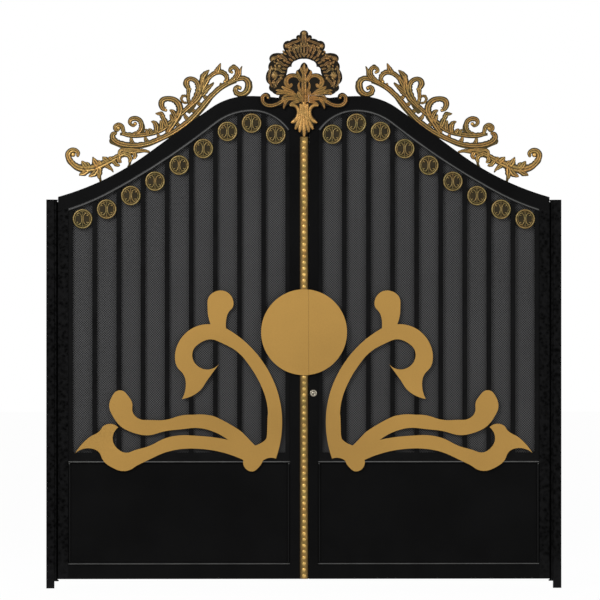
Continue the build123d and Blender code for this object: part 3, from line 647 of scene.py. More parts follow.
class Finish(Tree):
    """A material being written around one Principled shader."""

    def __init__(self, name, metallic=0.0, specular=0.5):
        self.material = bpy.data.materials.new(name)
        self.material.use_nodes = True
        self.material.node_tree.nodes.clear()
        super().__init__(self.material.node_tree)
        self.coords = self.add("ShaderNodeTexCoord").outputs["Object"]
        self.shader = self.add("ShaderNodeBsdfPrincipled", {"Metallic": metallic,
                                                           "Specular IOR Level": specular})
        self.add("ShaderNodeOutputMaterial", {"Surface": self.shader.outputs[0]})

    def group(self, maker, **values):
        """Outputs of a shared shader group."""
        inputs = {key.capitalize(): value for key, value in values.items()}
        return self.add("ShaderNodeGroup", {"Vector": self.coords, **inputs}, node_tree=shared(maker)).outputs

    def mixed(self, mask, first, second):
        """Colour that goes from the first to the second with the mask."""
        tones = [tone if isinstance(tone, bpy.types.NodeSocket) else (*tone, 1.0) for tone in (first, second)]
        return self.add("ShaderNodeMix", {0: mask, 6: tones[0], 7: tones[1]}, data_type="RGBA").outputs[2]

    def use(self, socket, value):
        self.tree.links.new(value, self.shader.inputs[socket])

    def closed(self, colour, mask, rough, height=None, strength=0.0, distance=0.0):
        """Sets the colour, the roughness between two values and the bump; gives the material."""
        self.use("Base Color", colour)
        self.use("Roughness", self.ranged(mask, 0.0, 1.0, *rough))
        if height is not None:
            self.use("Normal", self.out("ShaderNodeBump", {
                "Height": height, "Strength": strength, "Distance": distance}))
        return self.material

    def ridge(self):
        return self.add("ShaderNodeAttribute", attribute_name="ridge", attribute_type="GEOMETRY").outputs["Fac"]


def chosen(name):
    """A colour from the settings."""
    return getattr(bpy.context.scene.gate_colours, name)


def toned(colour, factor):
    """A colour made lighter or darker."""
    return tuple(min(1.0, part * factor) for part in colour)


def coated(name, setting, texture, scales, tones, rough, bump, gloss, dust=None):
    """Paint or sheet whose texture runs between two tones, with dust near the ground where it is given."""
    colour = chosen(setting)
    made = Finish(name, *gloss)
    grain = made.group(texture, **scales)
    coat = made.mixed(grain["Mask"], *(toned(colour, tone) for tone in tones))
    if dust:
        reach, tone = dust
        coat = made.mixed(made.group(dust_group, reach=reach)["Mask"], coat, toned(colour, tone))
    return made.closed(coat, grain["Mask"], rough, grain["Height"], *bump)


def bead_highlight_paint(name, level):
    """Semi-gloss black paint of a bead moulding, with a painted highlight in pale grey along its crown, or
    along its level runs alone.
    """
    grey = chosen("bead_grey")
    made = Finish(name, specular=0.08)
    crowns = made.math("POWER", made.ridge(), 3.0)
    # level runs alone: the upright runs keep no painted highlight, as the light falls from above
    if level:
        low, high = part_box("left_panel_bead")
        height = made.split(made.coords)["Z"]
        away = made.math("ABSOLUTE", made.math("SUBTRACT", height, (low.z + high.z) / 2))
        runs = made.math("GREATER_THAN", away, (high.z - low.z) / 2 - HIGHLIGHT_SHARE * BEAD_RUN)
        crowns = made.times(crowns, runs)
    grain = made.group(grain_group, scale=150.0, broad=9.0)
    # painted highlight: pale grey crown line over the black paint
    crown = made.mixed(grain["Mask"], toned(grey, 0.8), toned(grey, 1.3))
    return made.closed(made.mixed(crowns, chosen("black"), crown), grain["Mask"], (0.28, 0.45),
                       grain["Height"], 0.08, 0.0005)


def perforated(name):
    """Perforated sheet: staggered holes painted near black as painted shade, and the sheet painted lighter
    between them and darker towards them as painted light and shade.
    """
    grey = chosen("mesh")
    made = Finish(name, specular=0.05)
    holes = made.group(perforation_group, pitch=bpy.context.scene.gate_sizes.mesh_pitch)
    grain = made.group(grain_group, scale=70.0, broad=3.0)
    # painted light and shade: the lands between holes 2.1 times the grey, near the holes 0.75 times
    sheet = made.mixed(holes["Rim"], toned(grey, 0.75), toned(grey, 2.1))
    clouded = made.mixed(0.55, sheet, made.mixed(grain["Mask"], sheet, toned(grey, 0.9)))
    # holes painted near black as painted shade
    return made.closed(made.mixed(holes["Hole"], clouded, toned(grey, 0.05)), holes["Hole"], (0.55, 0.85),
                       holes["Rim"], 0.4, 0.002)


def gilded(name, setting, tone, recess, scale, metallic, wax_and_shade=1.0):
    """Gilded casting: dark wax and painted shade in recesses, at edges and behind, gold flanks and a painted
    highlight on the crowns, with more or less wax and painted shade left on.
    """
    gold = toned(chosen(setting), tone)
    made = Finish(name, metallic=metallic, specular=0.3)
    patina_and_shade = made.group(patina_and_shade_group, ridge=made.math("POWER", made.ridge(), wax_and_shade), scale=scale)
    grain = made.group(grain_group, scale=220.0, broad=25.0)
    tarnish = made.group(grain_group, scale=90.0, broad=14.0)
    warm = (gold[0] * 1.22, gold[1] * 0.86, gold[2] * 0.60)
    olive = (gold[0] * 0.66, gold[1] * 0.74, gold[2] * 0.62)
    flank = made.mixed(tarnish["Mask"], olive, made.mixed(grain["Mask"], toned(gold, 0.85), warm))
    # the recess colour stands for dark wax and painted shade
    body = made.mixed(patina_and_shade["Gold"], recess, flank)
    # painted highlight: the gold 2.4 times lighter where Shine is up
    return made.closed(made.mixed(patina_and_shade["Shine"], body, toned(gold, 2.4)), patina_and_shade["Gold"], (0.62, 0.34),
                       grain["Height"], 0.25, 0.0015)


def darkened(name, low, high, bare=None):
    """Dark ground of a casting, and its rear edge and back left in plain metal where a tone is given."""
    made = Finish(name, metallic=0.2, specular=0.1)
    grain = made.group(grain_group, scale=160.0, broad=20.0)
    ground = made.mixed(grain["Mask"], low, high)
    if bare:
        depth = made.split(made.coords)["Y"]
        rear = made.ranged(depth, FRONT - CAST_FRONT, FRONT - CAST_REAR)
        ground = made.mixed(rear, ground, made.mixed(grain["Mask"], toned(bare, 0.6), toned(bare, 1.4)))
    return made.closed(ground, grain["Mask"], (0.5, 0.7), grain["Height"], 0.3, 0.002)


def turned(name):
    """Turned steel, painted dark as painted shade in the groove round the cylinder and in the keyway."""
    steel = chosen("steel")
    made = Finish(name, metallic=0.9)
    patina_and_shade = made.group(patina_and_shade_group, ridge=made.ridge(), scale=90.0)
    return made.closed(made.mixed(patina_and_shade["Gold"], toned(steel, 0.12), steel), patina_and_shade["Gold"], (0.5, 0.22))


FINISHES = {
    # Coats: colour, texture and its scales, two tones, roughness, bump's strength and reach, metal and gloss,
    # and the dust's reach and tone
    "black_paint": (coated, "black", grain_group, {"scale": 180.0, "broad": 2.5}, (0.7, 1.5), (0.42, 0.60),
                    (0.10, 0.0006), (0.0, 0.03), (0.35, 1.7)),
    "post_paint": (coated, "black", hammered_group, {"scale": 48.0}, (0.1, 2.1), (0.30, 0.55),
                   (0.55, 0.004), (0.0, 0.022), (0.30, 3.5)),
    "bar_paint": (coated, "black", grain_group, {"scale": 120.0, "broad": 6.0}, (0.8, 1.8), (0.38, 0.55),
                  (0.12, 0.0006), (0.0, 0.04)),
    "sheet_gold": (coated, "sheet_gold", grain_group, {"scale": 160.0, "broad": 1.6}, (0.90, 1.08),
                   (0.36, 0.50), (0.05, 0.0005), (0.35, 0.25)),
    # Beads: whether only the level runs get the painted highlight
    "bead_paint": (bead_highlight_paint, False),
    "panel_bead_paint": (bead_highlight_paint, True),
    # Gilded castings: colour and its tone, recess colour of dark wax and painted shade, scale of the patina and
    # painted shade, metal, and how much wax and painted shade is left on
    "cast_gold": (gilded, "cast_gold", 1.0, (0.010, 0.007, 0.003), 45.0, 0.55, 1.7),
    "sprig_gold": (gilded, "spray_gold", 1.2, (0.036, 0.028, 0.012), 70.0, 0.5, 1.7),
    "spray_gold": (gilded, "spray_gold", 1.0, (0.024, 0.019, 0.007), 70.0, 0.5, 2.2),
    "rondel_gold": (gilded, "rondel_gold", 1.0, (0.022, 0.017, 0.008), 80.0, 0.45),
    "wreath_gold": (gilded, "wreath_gold", 1.0, (0.005, 0.004, 0.003), 60.0, 0.45, 1.7),
    "strip_gold": (gilded, "strip_gold", 1.0, (0.085, 0.052, 0.015), 30.0, 0.6),
    # Dark grounds of the castings: two tones, and the plain metal of the back
    "cast_recess": (darkened, (0.003, 0.0026, 0.002), (0.013, 0.009, 0.004), (0.075, 0.047, 0.016)),
    # spray_ground: dark olive ground whose margin round the relief stands partly for the casting's own dark
    # ground, partly for painted shade along its outline
    "spray_ground": (darkened, (0.035, 0.028, 0.010), (0.10, 0.070, 0.024)),
    "rondel_ground": (darkened, (0.014, 0.011, 0.006), (0.040, 0.030, 0.014)),
    "mesh_grey": (perforated,),
    "lock_steel": (turned,),
}


@functools.cache
def finish(name):
    """A material, made once."""
    maker, *settings = FINISHES[name]
    return maker(name, *settings)


def paint(name, *nodes):
    """Gives CAD nodes a finish."""
    for node in nodes:
        slots = NODES[node].data.materials
        slots.clear()
        slots.append(finish(name))


def sides(*names):
    """Left and right node names."""
    return [side + name for name in names for side in ("left_", "right_")]


def leaf_of(node):
    """The leaf that a left or right node belongs to."""
    return node.split("_")[0] + "_leaf"


class GATE_OT_paint_frame(bpy.types.Operator):
    """Paint the posts, leaves, panels and sheets"""
    bl_idname = "gate.paint_frame"
    bl_label = "Paint Frame"

    # Inset and lift of each bead's crown, then rise and reach of the panel bead's top run
    top_bead, panel_bead = (0.0066, 0.0015), (0.0006, 0.0015, 0.0115, 0.0025)
    # How much thicker the heel tube is shown, and how far a scroll plate's edges are eased
    heel_spread, plate_ease = 1.24, 0.0018
    # Outline of the cover strip from the post's edge, across and deep, and the height of its foot
    cover_section = ((-2.0, -3.0), (11.0, -3.0), (11.0, -9.0), (9.0, -11.0), (-2.0, -11.0))
    cover_foot = 45.0
    # Outlines, in picture places, that fill the inner corner of the scroll plate on the left
    webs = (
        ((190.5, 415.0, 0), (196, 414.5, 0), (202, 414.4, 0), (208, 415, 0), (214, 416.3, 0),
         (222.5, 420.2, 0), (231.4, 425.1, 0), (240.4, 430.9, 0), (245.7, 435.8, 0), (251.1, 441.6, 0),
         (254.8, 445.4, 0), (257, 448.6, 0), (250, 449, 0), (243, 446, 0), (236, 437, 0), (224, 426.4, 0),
         (214, 421, 0), (202, 418, 0)),
        ((268.6, 411, 0), (267.7, 415.6, 0), (267.4, 422, 0), (267.2, 430, 0), (266.8, 436, 0),
         (265.6, 440.6, 0), (263.6, 443.4, 0), (264.4, 446, 0), (270, 445, 0), (272, 430, 0), (271, 415, 0)),
    )

    def execute(self, context):
        paint("post_paint", *sides("post", "pivots", "hinge_stile"))
        paint("black_paint", *sides("top_rail", "bottom_rail", "meeting_stile", "kick_panel"),
              "meeting_bar", "meeting_lip")
        paint("bar_paint", *sides("bars", "mid_rail"))
        for name, crown, coat in (("panel_bead", self.panel_bead, "panel_bead_paint"),
                                  ("top_bead", self.top_bead, "bead_paint")):
            for node in sides(name):
                piece(node + "_rounded", bead_form(node, *crown), finish(coat), leaf_of(node),
                      (node,))
        for side, edge, toward in (("left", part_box("left_post")[1].x, 1),
                                   ("right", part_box("right_post")[0].x, -1)):
            node = side + "_heel_tube"
            piece(node + "_painted", thickened(node, self.heel_spread), finish("post_paint"), side + "_leaf",
                  (node,))
            cover = self.cover(side + "_cover_strip", edge, toward)
            piece(side + "_cover_strip", cover, finish("post_paint"), "posts")
        paint("mesh_grey", *sides("infill_sheet"))
        for node in sides("scroll_plate"):
            piece(node + "_eased", node_plate(node, self.plate_ease, self.webs), finish("sheet_gold"),
                  leaf_of(node), (node,))
        for side, edge, lap in (("left", LEFT_EDGE, LAP), ("right", RIGHT_EDGE, -LAP)):
            node = side + "_disc"
            piece(node + "_faced", lapped(node, edge, lap), finish("sheet_gold"), leaf_of(node),
                  (node,))
        return {"FINISHED"}

    def cover(self, name, edge, toward):
        """Slim strip on a post that closes the gap beside it."""
        strip = Moulding()
        count = len(self.cover_section)
        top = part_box("left_post")[1].z / MM
        places = [((edge + toward * x * MM - CENTRE) / MM, depth, z)
                  for z in (self.cover_foot, top) for x, depth in self.cover_section]
        strip.add(places, closed_faces(2, count), [0.0] * 2 * count)
        return shaded(strip.mesh(name), False)


class GATE_OT_bead_strip(bpy.types.Operator):
    """Make the gold strip with its row of beads"""
    bl_idname = "gate.bead_strip"
    bl_label = "Bead Strip"

    # Domed section of the strip: across, deep and ridge, which paints its edges darker as painted shade
    section = ((-23.5, 0.0, 0.0), (-23.5, -2.0, 0.0), (-20.5, -4.8, 0.12), (-14.5, -7.0, 0.38),
               (-6.0, -8.2, 0.55), (6.0, -8.2, 0.55), (14.5, -7.0, 0.42), (20.5, -4.8, 0.2),
               (23.5, -2.0, 0.0), (23.5, 0.0, 0.0))
    # Depth of the beads' middles, a bead's depth by its width and its length by the pitch
    bead_depth, bead_deep, bead_long = -3.0, 0.58, 0.84
    # A reel's width and depth by the bead's, and its length by the pitch
    reel_wide, reel_deep, reel_long = 0.75, 0.55, 0.16

    def execute(self, context):
        sizes = context.scene.gate_sizes
        low, high = (corner.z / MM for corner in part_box("bead_strip"))
        base = Moulding()
        base.add([(x, depth, z) for z in (low, high) for x, depth, _ in self.section],
                 closed_faces(2, len(self.section)), [shine for _, _, shine in self.section * 2])
        plate = shaded(base.mesh("centre_strip"), False)
        piece("centre_strip", plate, finish("strip_gold"), "left_leaf", ("bead_strip",))
        beads = grown("centre_strip_beads", point_mesh("beads", [(0, 0, 0)]), self.row(), {
            "Count": int((high - low) * MM / sizes.bead_pitch), "Pitch": sizes.bead_pitch,
            "Width": sizes.bead_width, "Start": at(0.0, self.bead_depth, low + sizes.bead_pitch / MM / 2),
            "Material": finish("strip_gold")})
        piece("centre_strip_beads", beads, None, "left_leaf")
        return {"FINISHED"}

    def row(self):
        """Tree that sets oval beads and thin reels in turn along a line."""
        writer, given = geometry_tree("Bead Row", (
            ("Count", "Int", 10), ("Pitch", "Float", 0.03), ("Width", "Float", 0.03),
            ("Start", "Vector", None), ("Material", "Material", None)))
        pitch, width, times = given["Pitch"], given["Width"], writer.times
        line = writer.geo("MeshLine", {"Count": given["Count"], "Start Location": given["Start"],
                                       "Offset": writer.vector(z=pitch)}, mode="OFFSET")
        ball = writer.geo("MeshUVSphere", {"Segments": 14, "Rings": 9, "Radius": 0.5})
        deep = times(width, self.bead_deep)
        oval = writer.vector(width, deep, times(pitch, self.bead_long))
        bead = writer.geo("Transform", {"Geometry": ball, "Scale": oval})
        thin = writer.vector(times(width, self.reel_wide), times(deep, self.reel_deep),
                             times(pitch, self.reel_long))
        reel = writer.geo("Transform", {"Geometry": ball, "Scale": thin,
                                        "Translation": writer.vector(z=times(pitch, 0.5))})
        rows = [writer.geo("InstanceOnPoints", {"Points": line, "Instance": shape}) for shape in (bead, reel)]
        return close_tree(writer, writer.geo("JoinGeometry", {0: rows}), given["Material"])


class GATE_OT_rondels(bpy.types.Operator):
    """Make the ring-and-scroll rondels under the top rails"""
    bl_idname = "gate.rondels"
    bl_label = "Rondels"

    # Least gap between two rondels, in metres, and the rim's share of their depth
    least_gap, rim_share = 0.012, 0.42
    # Points along a scroll, its first and last bend, its height and its distance from the upright
    scroll_points, first_bend, last_bend, scroll_height, scroll_gap = 30, 0.9, 4.5, 1.45, 0.10
    # Ground of a rondel: depth behind its middle, thickness each way and points around
    ground_depth, ground_half, ground_around = 3.0, 2.0, 40
    # Points around a ring, its rim, the inner ring's wire and the scroll's wire
    ring_around, rim_around, inner_around, wire_around = 44, 10, 6, 8
    # The inner ring's distance inside the outer one, and its thickness, by the rim's
    inner_inset, inner_share = 1.7, 0.4
    # Distance under which points of the rings and wires merge
    fine_merge = 0.000001

    def execute(self, context):
        tree = self.row()
        for side in ("left", "right"):
            node = side + "_rondels"
            centres = self.centres(node)
            low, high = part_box(node)
            radius = (NODES[node].dimensions.x - (centres[-1][0] - centres[0][0])) / 2
            rim = (high.y - low.y) * self.rim_share
            motif = linked("motif", self.motif(radius - 2 * rim))
            mesh = grown(side + "_rondel_row", point_mesh("places", centres), tree, {
                "Radius": radius - rim, "Rim": rim, "Wire": context.scene.gate_sizes.rondel_wire,
                "Motif": motif, "Material": finish("rondel_gold")})
            scrap(motif)
            tidy(mesh, self.fine_merge)
            piece(side + "_rondel_row", mesh, None, side + "_leaf", (node,))
            grounds = Moulding()
            for x, y, z in centres:
                grounds.knob((x - CENTRE) / MM, z / MM, (y - FRONT) / MM + self.ground_depth,
                             (radius - rim) / MM, self.ground_half, self.ground_half,
                             self.ground_around, rings=2)
            piece(side + "_rondel_grounds", grounds.mesh(side + "_rondel_grounds"), finish("rondel_ground"),
                  side + "_leaf")
        return {"FINISHED"}

    def centres(self, node):
        """Centres of the rondels of a node, in metres, from the gaps between them."""
        places = np.array([vertex.co for vertex in NODES[node].data.vertices])
        places = places[np.argsort(places[:, 0])]
        breaks = np.where(np.diff(places[:, 0]) > self.least_gap)[0] + 1
        return [(group.min(0) + group.max(0)) / 2 for group in np.split(places, breaks)]

    def motif(self, reach):
        """Lines of two facing C-scrolls around an upright, about the origin, that fit in a circle."""
        share = np.linspace(0, 1, self.scroll_points)
        turn = self.first_bend * share + self.last_bend * share ** 3
        x = -np.cumsum(np.sin(turn)) / self.scroll_points
        z = np.cumsum(np.cos(turn)) / self.scroll_points
        x, z = np.concatenate((x[::-1], x)), np.concatenate((-z[::-1], z))
        scale = reach * self.scroll_height / (z.max() - z.min())
        left = np.stack((x * scale - reach * self.scroll_gap, np.zeros_like(x), z * scale), 1)
        count = len(left)
        places = [*left, *(left * (-1, 1, 1)), (0.0, 0.0, -reach), (0.0, 0.0, reach)]
        edges = [(start + k, start + k + 1) for start in (0, count) for k in range(count - 1)]
        return point_mesh("motif", places, edges + [(2 * count, 2 * count + 1)])

    def row(self):
        """Tree that sets two rings and the motif at each point."""
        writer, given = geometry_tree("Rondel Row", (
            ("Radius", "Float", 0.052), ("Rim", "Float", 0.006), ("Wire", "Float", 0.004),
            ("Motif", "Object", None), ("Material", "Material", None)))

        def circle(around, radius):
            return writer.geo("CurvePrimitiveCircle", {"Resolution": around, "Radius": radius})

        def ring(radius, section):
            swept = writer.geo("CurveToMesh", {"Curve": circle(self.ring_around, radius),
                                               "Profile Curve": section})
            return writer.geo("Transform", {"Geometry": swept, "Rotation": (math.pi / 2, 0, 0)})

        rim = given["Rim"]
        outer = ring(given["Radius"], circle(self.rim_around, rim))
        inner = ring(writer.math("SUBTRACT", given["Radius"], writer.times(rim, self.inner_inset)),
                     circle(self.inner_around, writer.times(rim, self.inner_share)))
        lines = writer.add("GeometryNodeObjectInfo", {"Object": given["Motif"]}).outputs["Geometry"]
        scrolls = writer.geo("CurveToMesh", {
            "Curve": writer.geo("MeshToCurve", {"Mesh": lines}),
            "Profile Curve": circle(self.wire_around, given["Wire"]), "Fill Caps": True})
        joined = writer.geo("JoinGeometry", {0: [outer, inner, scrolls]})
        rondels = writer.geo("InstanceOnPoints", {"Points": given["Geometry"], "Instance": joined})
        return close_tree(writer, rondels, given["Material"])


class GATE_OT_castings(bpy.types.Operator):
    """Make the sprays and sprigs that stand on the slopes"""
    bl_idname = "gate.castings"
    bl_label = "Slope Castings"

    # How much broader than drawn the stems come out, by casting
    spray_broad, sprig_broad = 1.06, 1.25
    # Depths of the stems, leaves and ties behind the leaf front, and how far a plate's edges are eased
    stem_depth, leaf_depth, tie_depth, plate_ease = 21.0, 20.0, 22.0, 0.002
    # Bend of a tie, in picture places, and its half widths from top to bottom
    tie_bend, tie_halves = (-1.0, 1.2), (1.0, 2.3, 1.8)
    # Routes in picture places with half widths: stems and scrolls, then leaves
    spray_stems = (
        ((116.6, 132.8, 1.5), (113.2, 134.2, 2.5), (112.6, 138, 2.8), (115.6, 141.4, 2.8), (121, 143.9, 2.8),
         (130, 145.5, 2.7), (140, 145.1, 2.6), (150, 142.9, 2.5), (160, 138.9, 2.6), (170, 134.2, 2.7),
         (179.5, 128.4, 2.8), (190, 120.4, 2.7), (200, 109.6, 2.7), (210, 97.7, 2.6), (220, 88.3, 2.6),
         (229, 82.8, 2.3), (237, 79.4, 2.2), (243.6, 78.4, 2.5), (247.8, 81.6, 3.1), (248.4, 87, 3.4),
         (246, 92, 3.1), (241.2, 94.2, 2.4), (236.8, 92.8, 2.6), (235.4, 89.4, 2.2), (237.4, 86.8, 1.8),
         (240.2, 87.6, 1.3)),
        ((122.5, 133.6, 2.0), (130, 135.2, 2.5), (138, 135.2, 2.7), (147, 134.2, 2.5), (156, 132.2, 2.4),
         (164, 128.3, 2.6), (171, 122.6, 2.7), (178.5, 116.2, 2.6), (186, 109.6, 2.4), (192.5, 104, 2.4),
         (198, 98.3, 2.9), (201.6, 91, 3.4), (202.8, 83, 3.2), (204, 76.6, 2.0)),
        ((124, 134, 1.8), (123.2, 129.8, 2.0), (122, 126.2, 2.1), (118.6, 124.6, 2.1), (115.4, 126.4, 2.1),
         (115.2, 129.2, 1.8), (117.6, 130.2, 1.6), (118.9, 128.2, 1.6)),
        ((133, 134.5, 1.6), (139.4, 131.4, 2.1), (141.6, 126.3, 2.4), (140.4, 121, 2.4), (136, 118.4, 2.4),
         (131.4, 119.2, 2.3), (129.8, 122.2, 1.9), (131.2, 124.8, 1.5), (133.8, 125.8, 1.3),
         (135.4, 124, 1.1)),
        ((167.5, 132.4, 2.2), (172.4, 125, 3.2), (177, 117.6, 3.6), (180, 111, 3.3), (179, 104.6, 3.2),
         (174.5, 99.9, 2.8), (168, 98.5, 2.5), (162.8, 100, 2.8), (161.2, 104, 2.8), (162.8, 108.4, 2.3),
         (166, 110.6, 1.2)),
        ((189.5, 106, 1.6), (194.6, 98.5, 2.2), (198, 91, 2.6), (198, 84.6, 2.6), (195, 80.2, 2.4),
         (190.4, 78.7, 2.3), (186.8, 80.8, 2.8), (186.6, 85, 2.9), (188.8, 88.2, 2.1), (190.4, 89.4, 0.9)),
        ((207.5, 80.5, 1.8), (211.2, 75.8, 2.2), (216.3, 72.6, 2.4), (221.6, 72.2, 2.5), (225.6, 74.8, 2.4),
         (226.8, 78.6, 2.1), (225, 81.8, 1.5)),
        ((228, 82.5, 1.6), (233.6, 79, 2.1), (237, 74.6, 2.3), (237.2, 70, 2.3), (234.6, 67.2, 2.1),
         (231.2, 68, 1.9), (230, 70.8, 1.7), (231.6, 72.6, 1.0)),
    )
    spray_leaves = (
        ((202, 84, 2.0), (203, 77, 2.3), (206, 72.8, 1.6), (209.2, 70, 0.5)),
        ((201.6, 82, 1.8), (202.4, 77, 1.6), (202, 74, 0.5)),
        ((203, 88, 2.0), (207, 80.5, 2.0), (209, 76.5, 1.0)),
        ((204, 91, 1.8), (209, 86.8, 1.8), (213.6, 84, 0.5)),
        ((202, 95, 1.8), (206, 91.4, 1.6), (209.8, 88.6, 0.5)),
        ((217, 72.4, 2.2), (218.6, 68.4, 1.9), (220.4, 63.4, 0.5)),
        ((215.6, 73, 1.6), (216, 70, 1.2), (216.4, 68.4, 0.5)),
        ((236, 79, 1.6), (239.4, 74, 1.6), (241, 67.4, 0.5)),
        ((187, 85, 1.7), (188.6, 90, 1.7), (188.2, 97, 1.4), (190, 104, 1.2)),
        ((187, 103, 0.9), (183.2, 102.2, 1.0), (181.4, 98.6, 1.1), (183.2, 95.8, 1.1), (186.2, 96, 0.8)),
        ((163.4, 118, 1.8), (161, 114, 1.9), (156, 113.8, 0.6)),
        ((167, 127, 2.2), (164.4, 120.6, 2.2), (162, 115.6, 1.2)),
        ((176, 118, 1.8), (173, 112, 1.8), (169.8, 110, 0.7)),
        ((173, 122, 1.6), (171.6, 117.6, 1.5), (170.2, 114.4, 0.6)),
        ((156, 133, 1.8), (156.6, 127, 2.2), (154.6, 122.8, 1.7), (151.4, 121.4, 0.6)),
        ((161, 130, 1.8), (161.6, 124, 1.9), (160.2, 120.4, 0.6)),
        ((148, 134.4, 1.6), (147, 131, 1.6), (145, 129.2, 0.5)),
        ((152, 134, 1.5), (150.6, 130.4, 1.5), (148.6, 128.6, 0.5)),
    )
    sprig_stems = (
        ((77.6, 156.6, 1.1), (78.2, 153, 1.7), (75.2, 150.3, 2.0), (71, 150.6, 2.2), (68.2, 154, 2.4),
         (69, 158.8, 2.4), (72.4, 163.6, 2.4), (77.6, 167.4, 2.8), (84.5, 169.2, 3.1), (92, 168.6, 3.2),
         (99, 166.2, 3.2), (105.5, 163, 3.0), (111.5, 160.2, 2.4), (117.3, 156.8, 2.0), (123, 153.8, 2.0),
         (130, 152, 2.0), (138, 150.9, 1.7), (144, 150.8, 1.4), (149.4, 152, 0.9)),
        ((119, 156, 1.3), (120.2, 150.8, 1.4), (125, 149.6, 1.5), (133, 149.6, 1.4), (140, 150.2, 0.8)),
    )
    sprig_leaves = (
        ((86, 168, 1.8), (84, 164.2, 1.8), (81.8, 161.6, 0.7)),
        ((89, 167.5, 1.6), (87.4, 164.4, 1.6), (85.8, 162.4, 0.6)),
        ((97.4, 166, 2.0), (95, 161.8, 2.0), (93.2, 157.8, 0.6)),
        ((101, 164.8, 1.6), (99.2, 162.2, 1.4), (97.8, 160.6, 0.6)),
        ((108, 162, 2.0), (105, 159.2, 1.8), (102.6, 157.4, 0.6)),
        ((112.4, 160, 1.4), (110, 158.2, 1.2), (108.4, 157.6, 0.5)),
        ((88, 170, 1.8), (84, 173.2, 1.8), (79.6, 174.6, 0.7)),
        ((97, 169.5, 2.2), (94, 173.8, 2.0), (89, 176.4, 0.7)),
        ((99, 168, 2.2), (99.2, 173.6, 1.9), (98.8, 178.6, 0.7)),
        ((106, 165, 1.6), (110, 168, 1.2), (113, 170.6, 0.5)),
        ((113.6, 161, 1.6), (116.4, 164.4, 1.4), (119.8, 165.6, 0.7)),
        ((119, 157, 1.6), (119, 160.6, 1.5), (121.4, 162.2, 0.8)),
        ((124.6, 154, 1.6), (129, 155.6, 1.6), (130.6, 159.4, 1.3), (128.8, 162, 0.8)),
        ((133.8, 152.4, 1.6), (135, 155.8, 1.5), (133.6, 158.8, 0.8)), ((71.4, 162, 1.4), (73.2, 160.4, 0.6)),
    )
    # Ties between the stems, from upper left to lower right
    spray_ties = ((131, 136, 134.6, 145), (145, 135.6, 149.4, 142.6), (157.6, 133, 163, 138.6),
                  (166, 129, 171.6, 134.4), (175.6, 120, 182.4, 127.6), (184, 113, 190.4, 120),
                  (191, 107.4, 197.4, 111.6), (197.6, 101, 203.4, 105), (203.6, 94, 209, 98.2),
                  (220.6, 83, 224.4, 86))
    # Knobs in the curls, with radii
    spray_curls = ((240, 87.8, 2.0), (118.6, 128.2, 2.4), (135.2, 123.8, 2.0), (165.8, 110.2, 1.7),
                   (190.2, 89, 1.5), (225, 81.6, 1.8), (231.8, 72.2, 1.6))
    sprig_curls = ((73.2, 154.6, 2.5),)

    def execute(self, context):
        spray = self.relief(context, self.spray_stems, self.spray_leaves, self.spray_curls, self.spray_ties,
                            self.spray_broad)
        sprig = self.relief(context, self.sprig_stems, self.sprig_leaves, self.sprig_curls, (),
                            self.sprig_broad)
        for name, form, gold in (("upper_spray", spray, "spray_gold"), ("lower_sprig", sprig, "sprig_gold")):
            for side, flip in (("left", False), ("right", True)):
                node = side + "_" + name
                piece(node + "_relief", form.mesh(node, flip), finish(gold), side + "_leaf")
                # the plate's dark ground shows round the relief: partly the casting's ground, partly painted
                # shade along its outline
                plate = node_plate(node, self.plate_ease)
                piece(node + "_plate", plate, finish("spray_ground"), side + "_leaf", (node,))
        return {"FINISHED"}

    def relief(self, context, stems, leaves, curls, ties, broad):
        """Scrolls, leaves, knobs and ties of one casting on the left."""
        deep = context.scene.gate_sizes.cast_depth / MM
        spread = context.scene.gate_sizes.leaf_spread
        form = Moulding()
        for route in stems:
            form.sweep(from_pixels(route) * (1, 1, broad), self.stem_depth, front=deep, back=deep,
                       vein=0.5, lobes=len(route) * 1.5, lobe=0.3, edge=1)
        for x, z, radius in from_pixels(curls):
            form.knob(x, z, self.stem_depth, radius, tall=deep * 1.1, back=deep)
        for route in leaves:
            form.sweep(from_pixels(route) * (1, 1, spread * broad), self.leaf_depth, front=deep,
                       back=deep * 0.9, vein=0.6, lobes=len(route), lobe=0.35)
        for left, top, right, low in ties:
            middle = ((left + right) / 2 + self.tie_bend[0], (top + low) / 2 + self.tie_bend[1])
            ends = ((left, top), middle, (right, low))
            route = [(*place, half) for place, half in zip(ends, self.tie_halves)]
            form.sweep(from_pixels(route), self.tie_depth, front=deep * 0.8, back=deep * 0.8,
                       vein=0.6)
        return form


